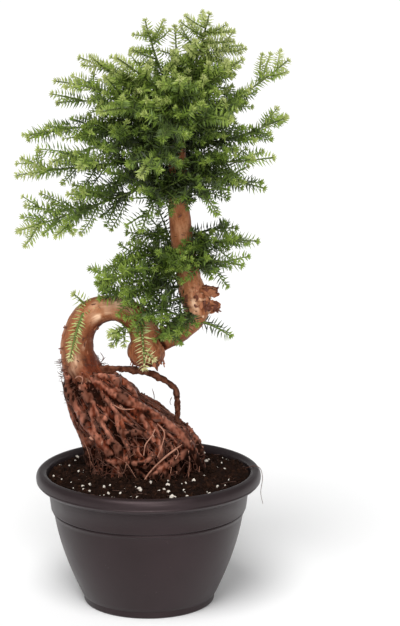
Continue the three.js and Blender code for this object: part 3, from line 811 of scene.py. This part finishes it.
# Trunk
def limb_line(name):
    start, end, first, second = LIMB[name][:4]
    p0, p3 = np.array(JOINT[start][0], float), np.array(JOINT[end][0], float)
    return bezier(p0, p0 + unit(JOINT[start][1]) * first, p3 - unit(JOINT[end][1]) * second, p3)


def limb_radius(name, u):
    start, end, _, _, taper, swell = LIMB[name]
    r0, r1 = JOINT[start][2], JOINT[end][2]
    return r1 + (r0 - r1) * (1 - u) ** taper + swell * np.sin(math.pi * u)


LIMB_LINES = {name: limb_line(name) for name in LIMB}


def two_limbs(first, second, u, v):
    """One line along two limbs that meet, read at shares u and v of them, and its radii."""
    line = np.vstack([LIMB_LINES[first].at(u), LIMB_LINES[second].at(v[1:])])
    return line, np.concatenate([limb_radius(first, u), limb_radius(second, v[1:])])


def flare_centre(t):
    """Middle of the flare at share t of its height."""
    shift = smoothstep(t, *FLARE.shift)
    x, y = (c + (n - c) * shift for c, n in zip(FLARE.centre, NECK_PLACE))
    return np.stack([x, y, FLARE.ground + FLARE_HEIGHT * np.asarray(t, float)], axis=-1)


def flare_half(t, out):
    """Half width and half depth of the flare at share t of its height."""
    spread = 1 - smoothstep(t, *FLARE.spread)
    return [NECK_RADIUS + (half * out - NECK_RADIUS) * spread
            for half in (FLARE.half_width, FLARE.half_depth)]


def flare_point(angle, t, out):
    width, depth = flare_half(t, out)
    offset = np.stack([width * np.cos(angle), depth * np.sin(angle), np.zeros_like(width)], axis=-1)
    return flare_centre(t) + offset


def front_point(x, z, out):
    t = np.asarray((z - FLARE.ground) / FLARE_HEIGHT)
    centre, (width, depth) = flare_centre(t), flare_half(t, out)
    across = np.clip((x - centre[0]) / width, -1, 1)
    return np.array([x, centre[1] - depth * math.sqrt(1 - across ** 2), z])


def straightened(points, lines):
    """Each point as if its limb were straight: two distances across and one along."""
    step, gap, block = 1.5, 50, 4000
    rows = []
    start = 0
    for line in lines:
        shares = np.linspace(0, 1, int(line.length / step))
        heading = line.heading(shares)
        rows.append((line.at(shares), heading, *frames(heading), start + shares * line.length))
        start += line.length + gap
    centre, heading, across, over, marks = (np.concatenate(column) for column in zip(*rows))
    made = np.empty_like(points)
    for low in range(0, len(points), block):
        part = points[low:low + block]
        near = np.argmin(((part[:, None] - centre[None]) ** 2).sum(-1), axis=1)
        offset = part - centre[near]
        made[low:low + block] = np.stack([dot(offset, across[near]), dot(offset, over[near]),
                                          marks[near] + dot(offset, heading[near])], axis=-1)
    return made


def trunk_forms():
    """Overlapping forms of the trunk, and its two lines: roots to fall, and heel to tip."""
    forms = Batch()
    sides = 28
    short, long = np.linspace(0, 1, 40), np.linspace(0, 1, 90)
    low = np.linspace(NECK_SHARES[0], NECK_SHARES[-1], 10)
    places, radii = two_limbs("trunk_rise", "trunk_arch", short, short)
    upper = Line(np.vstack([flare_centre(low), places]))
    neck_radii = flare_half(low, 0.92)[0] * np.interp(low, NECK_SHARES, NECK_GIRTHS)
    forms.add(*tube(upper, np.concatenate([neck_radii, radii]), sides, upper.marks / upper.length))
    fall, heading, girth = JOINT["fall"]
    heel = Line([np.array(fall) + unit(heading) * HEEL.depth * s for s in np.linspace(-0.3, 1, 6)])
    forms.add(*tube(heel, girth * (1 - HEEL.taper * np.linspace(0, 1, 6)), sides))
    forms.add(*ball(HEEL.centre, HEEL.radii))
    places, radii = two_limbs("trunk_turn", "trunk_stem", short, long)
    lower = Line(places)
    forms.add(*tube(lower, radii, sides, lower.marks / lower.length))
    forms.add(*ball(BURL.centre, BURL.radii))
    for start, end, girth, end_girth in BURL_PEGS:
        forms.add(*tube(straight(start, end, 8), np.linspace(girth, end_girth, 8), 8))
    return forms, [upper, lower]


def make_trunk():
    """Trunk from the roots to the tip: its limbs, heel, burl and broken pegs under one skin of bark."""
    forms, lines = trunk_forms()
    mesh = fused(forms, "trunk_bark", voxel=0.9, rounds=3)
    points, normals = places_of(mesh)
    in_heel = norm((points - HEEL.centre) / HEEL.radii)
    worn = (points[:, 2] < HEEL.end) & (in_heel < 1.2)
    points[worn, 2] = HEEL.end + (points[worn, 2] - HEEL.end) * HEEL.end_flat
    x, _, z = points.T
    neck = 1 - smoothstep(z, *NECK_FADE)
    heel = smoothstep(1.3 - in_heel, 0.05, 0.25) * (1 - smoothstep(z, *HEEL_FADE))
    u = np.linspace(0, 1, 40)
    turn_gap = norm(points[:, None] - LIMB_LINES["trunk_turn"].at(u)[None])
    turn_gap = (turn_gap - limb_radius("trunk_turn", u)).min(axis=1)
    crease = np.exp(-(((in_heel - 1) * 16 - turn_gap) / 1.8) ** 2) * (in_heel < 1.25)

    # Relief: plates, fibres and rings along the grain, torn burl, grooved heel and ridged neck
    spoke = unit((points - HEEL.centre) * (1, 1, 0))[:, :2]
    grooves = noise(np.hstack([spoke * 5, points[:, 2:] / 14]), 51)
    grooves += 0.6 * noise(np.hstack([spoke * 11, points[:, 2:] / 9]), 53)
    grain = straightened(points, lines)
    plates = noise(grain / (9, 9, 26), 3)
    fibres = noise(grain / (2.3, 2.3, 15), 7) + 0.5 * noise(grain / (1.2, 1.2, 8), 8)
    rings = noise(grain / (12, 12, 3.2), 12)
    ridges = noise(grain / (5, 5, 30), 15) + 0.6 * noise(grain / (2.6, 2.6, 11), 16)
    burl = np.exp(-np.sum(((points - BURL.centre - (3, 0, 2)) / (15, 18, 19)) ** 2, axis=1))
    torn = noise(points / (4, 5, 4.5), 41) + 0.6 * np.sign(noise(points / (6, 6, 3), 44))
    depth = BARK_RELIEF
    relief = (depth.plates * np.sign(plates) * np.abs(plates) ** 0.5 + depth.fibres * fibres
              + depth.rings * rings + fractal(points / 16, 2, 30) + depth.torn * burl * torn
              - depth.crease * crease + depth.ridges * neck * ridges + depth.grooves * heel * grooves)
    slim = np.clip(norm(grain[:, :2]) / 10, 0.25, 1)
    raise_skin(mesh, points, normals, relief * slim)
    store(mesh, "grain", grain)
    store_relief(mesh)

    # Tone: painted highlight on upper faces and front spots, the neck and heel darker by their own colour,
    # painted shade in creases, below and inside the arch
    right, back, up = normals.T
    # Painted highlight on the upward faces of the trunk
    top_highlight = smoothstep(up - 0.3 * back, 0.45, 1.05) * (x < TOP_HIGHLIGHT_END) * smoothstep(z, *TOP_HIGHLIGHT_FADE)
    top_highlight *= patches(points, (9, 9, 14), 52, -0.5, 0.5)
    # Painted highlights on front-facing spots of the trunk
    pale = sum(np.exp(-((x - spot_x) / wide) ** 2 - ((z - spot_z) / high) ** 2)
               for spot_x, spot_z, wide, high in FRONT_HIGHLIGHTS)
    pale *= smoothstep(-back, 0.4, 0.95) * patches(points, (5, 5, 8), 55, -0.7, 0.2)
    pale *= 0.35 + 0.9 * smoothstep(fibres, -0.5, 0.6)
    # Painted shade under the low bark and on the inside of the arch, stored with the creases' painted shade
    # and the darker neck and heel
    under = smoothstep(-up, 0.1, 0.9) * (z < LOW_BARK)
    inner = smoothstep(right, -0.25, 0.6) * (x < INNER_SHADE_END) * smoothstep(INNER_SHADE_TOP - z, 0, 24)
    aged_and_shade = (BARK_AGE_AND_SHADE.neck * neck + BARK_AGE_AND_SHADE.heel * heel + BARK_AGE_AND_SHADE.crease * crease + BARK_AGE_AND_SHADE.under * under
            + BARK_AGE_AND_SHADE.inner * inner)
    store(mesh, "painted_highlight", np.clip(0.85 * top_highlight + pale, 0, 1))
    store(mesh, "aged_and_shade", np.clip(aged_and_shade, 0, 1))
    piece(mesh, [BARK], ["trunk_rise", "trunk_arch", "trunk_turn", "trunk_stem"])
    return points, normals


def flake(rng, place, along, outward, length, broad=1):
    """A loose plate of bark with a torn edge, curled across."""
    along = unit(along)
    across = unit(np.cross(outward, along))
    out = np.cross(along, across)
    count = 9
    angle = round_angles(count)
    edge = rng.uniform(0.6, 1.15, count) * length / 2
    width = rng.uniform(0.4, 0.75) * broad
    shift = np.sin(angle) * edge * width
    plate = (place + along * (np.cos(angle) * edge)[:, None] + across * shift[:, None]
             - out * (0.12 * shift ** 2 / length)[:, None])
    thick = out * rng.uniform(0.3, 0.6)
    return np.vstack([plate - thick, plate + thick]), closed_faces(2, count)


def make_flakes(skin, skin_normals):
    """Torn bark on the burl and the worn heel, loose plates along the old trunk, and scars on its front."""
    rng = np.random.default_rng(31)
    batch = Batch()

    def astray(amount):
        return amount * rng.normal(size=3)

    def shed(place, along, outward, shortest, longest, broad=1):
        plate = flake(rng, place, along, outward, rng.uniform(shortest, longest), broad)
        batch.add(*plate, kind=int(rng.choice(3, p=(0.55, 0.4, 0.05))))

    for start, end, girth, end_girth in BURL_PEGS:
        reach = np.array(end) - np.array(start)
        for share in rng.uniform(0.35, 1.05, SHED.peg):
            side = unit(rng.normal(size=3) * (0.3, 1, 1))
            place = np.array(start) + reach * share + side * girth * (1.1 - 0.5 * share)
            shed(place, unit(reach) + astray(0.45), side + astray(0.4), 5, 11)
        for share in rng.uniform(0, 0.9, SHED.peg_end):
            side = unit(np.cross(reach, rng.normal(size=3)))
            shed(np.array(end) + side * share * end_girth, unit(reach) + astray(0.3), side, 4, 7)
    for start, end, girth, end_girth in RISE_PEGS:
        batch.add(*tube(straight(start, end, 6), np.linspace(girth, end_girth, 6), 7))
    for around in rng.uniform(0, TURN, SHED.heel):
        out = np.array([math.cos(around), math.sin(around), 0])
        place = np.array(HEEL.centre) + out * HEEL.radii * rng.uniform(0.7, 0.97)
        place[2] = HEEL.end + rng.uniform(-1, 7)
        shed(place, 0.3 * out - (0, 0, 1), out, 5, 9)
    rise = LIMB_LINES["trunk_rise"]
    for share in 0.6 * rng.uniform(0, 1, SHED.rise) ** 2:
        heading = rise.heading(share)
        out = unit(np.cross(heading, rng.normal(size=3)))
        place = rise.at(share) + out * (limb_radius("trunk_rise", share) + 0.2)
        shed(place, heading + astray(0.25), out, 3, 6, broad=0.45)
    on_burl = np.flatnonzero(norm((skin - BURL.centre) / (16, 16, 20)) < 1)
    for spot in rng.choice(on_burl, SHED.burl):
        normal = skin_normals[spot]
        along = (0.2 * rng.normal(), 0.2 * rng.normal(), 1)
        shed(skin[spot] + 0.8 * normal, along, normal + astray(0.4), 6, 11)
    for x, z, length in SCARS:
        spot = np.argmin(np.hypot(skin[:, 0] - x, skin[:, 2] - z) + 0.2 * skin[:, 1])
        batch.add(*flake(rng, skin[spot], (1, 0, rng.normal(0, 0.3)), skin_normals[spot], length, broad=0.4))
    piece(batch.mesh("bark_flakes"), FLAKES, smooth=False)


# Roots
def knobbly(count, girth, fall, rng):
    """Radii of a root that thins towards its end, with uneven swellings."""
    u = np.linspace(0, 1, count)
    waves = sum(rng.uniform(0.04, 0.1) * np.sin(u * rng.uniform(4, 26) + rng.uniform(0, 6))
                for _ in range(3))
    return girth * (1 - fall * u) * (1 + waves) * np.interp(u, [0, 0.18], [0.3, 1])


def root_forms():
    """Overlapping forms of the flare: a core, strands all round, roots that show, cross roots and knots."""
    rng = np.random.default_rng(11)
    forms = Batch()
    rings, sides = np.linspace(-0.03, 1, 30), 40
    core = np.stack([flare_point(round_angles(sides), np.full(sides, t), 0.76) for t in rings])
    middle = flare_centre(rings)[:, None]
    core = middle + (core - middle) * (1 - 0.3 * smoothstep(rings, 0.7, 1))[:, None, None]
    forms.add(core.reshape(-1, 3), closed_faces(len(rings), sides))
    share = np.linspace(1, -0.05, 9)
    for k in range(STRANDS):
        start = TURN * (k + rng.uniform(0, 0.8)) / STRANDS
        top, drift = rng.uniform(0.2, 0.86), rng.normal(0.15, 0.6)
        sway, seat = rng.uniform(0.03, 0.14), rng.uniform(0.78, 0.93) - 0.16 * smoothstep(share, 0.75, 1)
        turn = start + drift * (1 - share) + sway * np.sin(share * rng.uniform(5, 11) + rng.uniform(0, 6))
        girth = rng.uniform(0.8, 1.8) if k % 5 else rng.uniform(2.2, 4.6)
        forms.add(*tube(spline(flare_point(turn, top * share, seat)), knobbly(40, girth, 0.35, rng), 9))
    for k, (girth, places) in enumerate(FRONT_ROOTS * 2):
        line = np.array([front_point(x, z, 0.96) for x, z in places])
        if k >= len(FRONT_ROOTS):
            line[:, 1] = 2 * NECK_PLACE[1] - line[:, 1]
        forms.add(*tube(spline(line), knobbly(40, girth, 0.2, rng), 12))
    for _ in range(CROSSING):
        angle, t = rng.uniform(0, TURN), rng.uniform(0.02, 0.8)
        slope = rng.normal(0, 0.05, 6) + rng.normal(0, 0.05)
        turns = np.cumsum(rng.normal(0, 0.06, 6) + rng.choice((-1, 1)) * rng.uniform(0.04, 0.14))
        seat = rng.uniform(0.86, 0.97) - 0.14 * np.array([1, 0.2, 0, 0, 0.2, 1])
        places = flare_point(angle + turns, np.clip(t + np.cumsum(slope), -0.04, 0.86), seat)
        forms.add(*tube(spline(places), knobbly(30, rng.uniform(0.8, 1.6), 0.4, rng), 8))
    for _ in range(KNOTS):
        place = flare_point(np.asarray(rng.uniform(0, TURN)), np.asarray(rng.uniform(0.02, 0.8)), 0.9)
        forms.add(*ball(place, rng.uniform(3, 6) * rng.uniform(0.7, 1.3, 3), 8, 10))
    return forms


def make_roots():
    """The flare's roots under one wrinkled skin, dark where soil clings to it, with a painted highlight on
    its upward faces.
    """
    mesh = fused(root_forms(), "root_mass", voxel=1.15, rounds=1)
    points, normals = places_of(mesh)
    x, _, z = points.T
    relief = 0.45 * (1 - 2 * np.abs(noise(points / (3.2, 3.2, 6), 60)))
    relief += 0.7 * fractal(points / (5, 5, 8), 2, 63) + 0.35 * noise(points / (1.7, 1.7, 3), 71)
    raise_skin(mesh, points, normals, relief)
    store(mesh, "grain", points)
    store_relief(mesh, 40)
    low = smoothstep(166 - z, 0, 30) * patches(points, 8, 66, -0.7, 0.3)
    # Painted highlight on upward faces of the roots
    wet_highlight = smoothstep(normals[:, 2], 0.3, 0.85) * patches(points, (7, 7, 9), 68, 0, 0.5)
    foot = smoothstep(x, 10, 52) * smoothstep(190 - z, 0, 40)
    soiled = SOILED.patches * patches(points, (9, 9, 13), 64, -0.05, 0.45) + SOILED.low * low
    soiled += SOILED.spots * patches(points, (2.6, 2.6, 4.2), 69, 0, 0.45) + SOILED.foot * foot
    store(mesh, "soiled", np.clip(soiled, 0, 1))
    store(mesh, "painted_highlight", 0.6 * wet_highlight)
    piece(mesh, [ROOT], ["trunk_base"])
    return points, normals


def make_aerial_root():
    sides, u = 20, np.linspace(0, 1, 60)
    places, radii = two_limbs("aerial_root_run", "aerial_root_drop", u, u)
    line = Line(places)
    points, faces = tube(line, radii, sides, line.marks / line.length)
    grain = straightened(points, [line])
    knots = fractal(grain / (6, 6, 5), 3, 80) + 0.5 * noise(grain / (2.2, 2.2, 3), 85)
    centre = np.repeat(places, sides, axis=0)
    batch = Batch()
    batch.add(centre + (points - centre) * (0.84 + 0.38 * knots)[:, None], faces)
    mesh = batch.mesh("aerial_root")
    store(mesh, "grain", grain)
    store_relief(mesh)
    piece(mesh, [AERIAL], ["aerial_root_run", "aerial_root_drop"])


def make_fine_roots(skin, skin_normals):
    """Pale strands on the front, hair roots and scraps of rind all round, and roots that hang free."""
    rng = np.random.default_rng(23)
    batch = Batch()
    pale, hair, rind = range(len(FINE_ROOTS))
    for spot in rng.choice(len(skin), SCRAPS):
        normal = skin_normals[spot]
        along = unit(np.cross(normal, rng.normal(size=3))) + (0, 0, -0.8)
        scrap = flake(rng, skin[spot], along, normal + 0.5 * rng.normal(size=3), rng.gamma(4, 0.7) + 1)
        batch.add(*scrap, kind=int(rng.choice((pale, hair, rind), p=(0.12, 0.5, 0.38))))
    for girth, places in PALE_ROOTS:
        line = spline([front_point(x, z, 1.04) for x, z in places])
        batch.add(*tube(line, knobbly(36, girth, 0.3, rng), 7), kind=pale)
    for _ in range(CREEPING):
        angle, t = rng.uniform(0, TURN), rng.uniform(0.02, 0.8)
        steps = np.cumsum(rng.normal(0, 1, (5, 2)) * (0.09, 0.05) + (rng.normal(0, 0.09), -0.05), axis=0)
        lift = 0.98 + rng.uniform(0, 0.07, 5)
        places = flare_point(angle + steps[:, 0], np.clip(t + steps[:, 1], -0.02, 0.95), lift)
        root = tube(spline(places, 5), knobbly(18, rng.uniform(0.25, 0.6), 0.5, rng), 5)
        batch.add(*root, kind=hair if rng.uniform() < 0.9 else pale)
    for _ in range(HAIRS):
        place = flare_point(np.asarray(rng.uniform(0, TURN)), np.asarray(rng.uniform(0, 0.97)), 0.94)
        out = unit(place - flare_centre((place[2] - FLARE.ground) / FLARE_HEIGHT))
        end = place + out * rng.uniform(2, 5) + rng.normal(0, 1.6, 3)
        bend = (place + end) / 2 + rng.normal(0, 1, 3)
        batch.add(*tube(bezier(place, bend, end, samples=6), np.linspace(0.35, 0.15, 4), 4), kind=hair)
    for girth, count, places in FREE_ROOTS:
        batch.add(*tube(spline(places), knobbly(count, girth, 0.5, rng), 5), kind=hair)
    piece(batch.mesh("fine_roots"), FINE_ROOTS)


# Foliage
LIMB_SHARES = np.linspace(0, 1, 80)
LIMB_PLACES = np.vstack([LIMB_LINES[name].at(LIMB_SHARES) for name in LIMB])
LIMB_GIRTH = np.concatenate([limb_radius(name, LIMB_SHARES) for name in LIMB])


def stands_clear(line):
    """Whether a twig keeps clear of the limbs and of the bark and sky that show."""
    places = line.at(np.linspace(0.1, 1, 7))[:, None]
    gap = norm(places - LIMB_PLACES[None]) - LIMB_GIRTH[None]
    return gap.min() > CLEAR and all(norm(places - np.linspace(back, front, 12)[None]).min() > reach
                                     for back, front, reach in BARE)


def stem_line(limb, share, tip, bow):
    start = LIMB_LINES[limb].at(share)
    reach = np.array(tip, float) - start
    end = start + reach * (1 - STEM["bud"] / norm(reach))
    return bezier(start, (start + end) / 2 + (0, 0, 2 * bow), end, samples=40)


def twig_line(stem, rule, u, length, roll):
    start, along = stem.at(u), stem.heading(u)
    up = np.array([0, 0, 1]) - along * along[2]
    if along[2] > 0.75:
        up = np.array([0, -1, 0]) + along * along[1]
    up = unit(up)
    out = up * math.cos(roll) + np.cross(along, up) * math.sin(roll)
    bend, end = ((along * math.cos(rule[angle]) + out * math.sin(rule[angle])) * length / 2
                 for angle in ("angle", "angle_tip"))
    return bezier(start, start + bend, start + bend + end, samples=16)


def twigs(stem, rule, draw, fullness=1):
    """Twigs stand out left and right in turn; one that would touch a limb is cut short or skipped."""
    count = min(rule["most"], max(2, round(stem.length / rule["pitch"])))
    for i in range(count):
        u = rule["first"] + (rule["last"] - rule["first"]) * (i + 0.5 * draw()) / count
        roll = (-1 if i % 2 else 1) * (rule["roll"] + rule["roll_spread"] * (draw() - 0.5))
        plain = max(stem.length * (rule["share"] - rule["share_fall"] * u), rule["least"])
        full = fullness * min(plain, rule["longest"]) * (0.85 + 0.3 * draw())
        for share in (1, 0.75, 0.5):
            if full * share < rule["shortest"]:
                break
            line = twig_line(stem, rule, u, full * share, roll)
            if stands_clear(line):
                yield line
                break


def tone(places):
    """Tint of needles by place: painted shade in the heart of the crown, painted light at its rim and top.
    """
    foot, tip = JOINT["burl"][0][2], JOINT["tip"][0][2]
    trunk = LIMB_LINES["trunk_stem"].at(np.clip((places[:, 2] - foot) / (tip - foot), 0, 1))
    outer = norm((places - trunk) * (1, TONE.depth_share, 1)) / TONE.rim_at
    return TONE.heart + TONE.rim * outer + TONE.top * smoothstep(places[:, 2], TONE.top_low, TONE.top_high)


NEEDLE_FACES = np.array([(0, 1, 2), (1, 4, 2), (1, 0, 3), (4, 1, 3), (2, 4, 3), (0, 2, 3)])


def needles(line, rule, rng, lighter, darkest, palest):
    """Needles in opposite pairs, each across the last, and a knob of short ones at the end of the stem."""
    bare, length = rule["bare"], rule["needle"]
    high = float(smoothstep(line.at(0.5)[2], HIGH.low, HIGH.high))
    pairs = max(4, int(line.length * (1 - bare) * NEEDLE.per_mm * (1 + HIGH.denser * high) / 2))
    step = np.repeat(np.arange(pairs), 2)
    count = 2 * pairs + BUD.count
    bud = np.arange(count) >= 2 * pairs
    order = np.arange(BUD.count)
    shares = bare + (1 - bare) * (step + 0.5) / pairs
    shares = np.clip(shares + rng.normal(0, 0.25 / line.length, 2 * pairs), 0, 1)
    shares = np.concatenate([shares, np.ones(BUD.count)])
    turn = rng.normal(0, 0.3) + step % 2 * math.pi / 2 + np.tile((0, math.pi), pairs)
    turn = np.concatenate([turn + rng.normal(0, 0.14, 2 * pairs), order * GOLDEN])
    end = np.where(bud, 1, np.clip((shares - 1) * line.length / NEEDLE.taper + 1, 0, 1))

    # Headings: a needle leans forward, most of all at the end, and turns about itself
    forward = line.heading(shares)
    across = unit(np.cross(forward, (1, 0, 0) if abs(forward[0][2]) > 0.8 else (0, 0, 1)))
    over = np.cross(forward, across)
    outward = across * np.cos(turn)[:, None] + over * np.sin(turn)[:, None]
    lean = NEEDLE.angle + (NEEDLE.angle_tip - NEEDLE.angle) * shares
    lean = lean + (NEEDLE.end_angle - lean) * end ** 2 + rng.normal(0, 0.1, count)
    lean[bud] = BUD.angle * np.sqrt((order + 0.5) / BUD.count)
    heading = forward * np.cos(lean)[:, None] + outward * np.sin(lean)[:, None]
    face = unit(forward - heading * dot(forward, heading)[:, None] + outward * 0.01)
    side = np.cross(heading, face)
    twist = rng.normal(0, NEEDLE.twist, count)[:, None]
    side, face = side * np.cos(twist) + face * np.sin(twist), face * np.cos(twist) - side * np.sin(twist)

    # Five corners each: base, belly left, right and below, and tip
    places = line.at(shares)
    reach = length * rng.uniform(0.85, 1.12, count) * (1 + (NEEDLE.end_length - 1) * end)
    reach[bud] = length * BUD.length * rng.uniform(0.85, 1.15, BUD.count)
    reach *= 1 - HIGH.shorter * high
    core = rule["radius"] + (rule["tip_radius"] - rule["radius"]) * shares
    base = places + outward * (core * 0.5)[:, None]
    belly = base + heading * (reach * NEEDLE.belly)[:, None]
    half = NEEDLE.width / 2 * (1 - HIGH.narrower * high) * np.clip(reach / NEEDLE.full_width_at, 0.6, 1)
    half = side * half[:, None]
    tip = base + heading * reach[:, None] + face * (reach * NEEDLE.curl)[:, None]
    points = np.stack([base, belly + half, belly - half, belly - face * NEEDLE.thickness, tip], axis=1)
    faces = NEEDLE_FACES[None] + points.shape[1] * np.arange(count)[:, None, None]

    # Painted shade and light by place in the crown, and fresh growth lighter towards the ends
    tints = tone(places) + lighter + TONE.end * end + TONE.along * (shares - TONE.middle)
    tints += rng.uniform(-TONE.needle_spread, TONE.needle_spread, count)
    kinds = np.clip(tints, darkest, palest).astype(int)
    return points.reshape(-1, 3), faces.reshape(-1, 3), np.repeat(kinds, len(NEEDLE_FACES))


def twig_rules(name, single):
    """Rules for the twigs of a mass, in the order in which they grow."""
    habit, sides = {}, {}
    if name in WIDE_GROUPS:
        habit = WIDE
    elif name.startswith("top"):
        habit = SPREAD
    elif name.startswith(BUSHY_GROUPS) and not name.endswith("back"):
        habit = BUSHY
    elif "_front" in name or "_back" in name or name in OPEN_GROUPS:
        sides = OPEN
    elif name in FULL_GROUPS:
        sides = FULL
    rules = [TWIG]
    if not single:
        rules += [dict(FILL, **(habit or sides)), dict(HEART, **habit)]
    if name in BUNCH_GROUPS:
        rules.append(BUNCH)
    if name in CLOAK_GROUPS:
        rules.append(CLOAK)
    return rules


def make_foliage():
    groups = {}
    for index, (name, share, tip, bow, *single) in enumerate(MASS):
        draw, rng = seeded(index + 1), np.random.default_rng(100 + index)
        stem = stem_line(CARRIER.get(name, "trunk_stem"), share, tip, bow)
        sprays = [(stem, STEM)]
        for rule in twig_rules(name, single):
            for twig in twigs(stem, rule, draw, *single):
                sprays.append((twig, rule))
                if rule is TWIG and twig.length > BRANCHED:
                    sprays.extend((twiglet, TWIGLET) for twiglet in twigs(twig, TWIGLET, draw))
        kin = name.split("_")[0]
        green, wood, nodes = groups.setdefault(kin if kin in TIERS else "trunk", (Batch(), Batch(), []))
        nodes.append("foliage_" + name)
        tint_range = TINT_RANGE.get(name, TINT_RANGE.get(kin, PLAIN_RANGE))
        for line, rule in sprays:
            lighter = LIGHTER.get(name, LIGHTER.get(kin, 0)) + rng.normal(0, TONE.spray_spread)
            green.add(*needles(line, rule, rng, lighter, *tint_range))
            steps = max(4, int(line.length / 9))
            radii = np.linspace(rule["radius"], rule["tip_radius"], steps)
            if rule is STEM:
                radii = radii + STEM["flare"] * np.exp(-np.linspace(0, 1, steps) * STEM["flare_fall"])
            woody = rule is STEM and not single
            wood.add(*tube(line, radii, 6 if rule is STEM else 5), kind=0 if woody else 1)
    for group, (green, wood, nodes) in groups.items():
        piece(green.mesh("needles_" + group), NEEDLES, nodes, smooth=False)
        piece(wood.mesh("twigs_" + group), TWIGS, nodes)


# Studio
def sun(name, azimuth, elevation, strength, width):
    """A broad soft light; azimuth 0 comes from the viewer's side and 90 from the right."""
    light = bpy.data.lights.new(name, "SUN")
    light.energy, light.angle = strength, math.radians(width)
    lamp = bpy.data.objects.new(name, light)
    lamp.rotation_euler = (math.radians(90 - elevation), 0, math.radians(azimuth))
    scene.collection.objects.link(lamp)


def make_studio():
    """A wide pale floor that rises far out, an even sky and two suns; the floor's sizes are metres."""
    finish = Finish("studio_floor", Roughness=0.9, Base_Color=(0.95, 0.95, 0.95, 1))
    mesh = bpy.data.meshes.new("studio_floor")
    flat, reach, rise, sides = 16, 76, 12, 48
    corners = [(r * math.cos(a), r * math.sin(a), z) for r, z in ((flat, 0), (reach, rise))
               for a in round_angles(sides)]
    ring = [(k, sides + k, sides + (k + 1) % sides, (k + 1) % sides) for k in range(sides)]
    mesh.from_pydata(corners, [], [tuple(range(sides)), *ring])
    mesh.materials.append(finish.material)
    floor = bpy.data.objects.new("studio_floor", mesh)
    scene.collection.objects.link(floor)
    world = bpy.data.worlds.new("studio")
    world.use_nodes = True
    sky = world.node_tree.nodes["Background"].inputs
    sky["Color"].default_value = (1, 1, 1, 1)
    sky["Strength"].default_value = 0.3
    scene.world = world
    sun("key", azimuth=-14, elevation=60, strength=2.55, width=32)
    sun("front", azimuth=6, elevation=20, strength=1.25, width=24)
    scene.view_settings.view_transform = "Standard"


def make_camera():
    """The photo's view: metres, and for focal length, height and offset of the picture its pixels."""
    distance, height, pitch = 2.0, 0.714, math.radians(11.7)
    focal, picture_height, axis_from_centre = 2029, 626, 53.3
    camera = bpy.data.cameras.new("camera")
    camera.sensor_width = 36
    camera.lens = focal / picture_height * camera.sensor_width
    lens = bpy.data.objects.new("camera", camera)
    lens.location = (0, -distance, height)
    lens.rotation_euler = Euler((math.pi / 2 - pitch, 0, -math.atan(axis_from_centre / focal)))
    scene.collection.objects.link(lens)
    scene.camera = lens


make_camera()
make_studio()
make_pot()
make_soil()
make_flakes(*make_trunk())
root_skin = make_roots()
make_aerial_root()
make_fine_roots(*root_skin)
make_foliage()
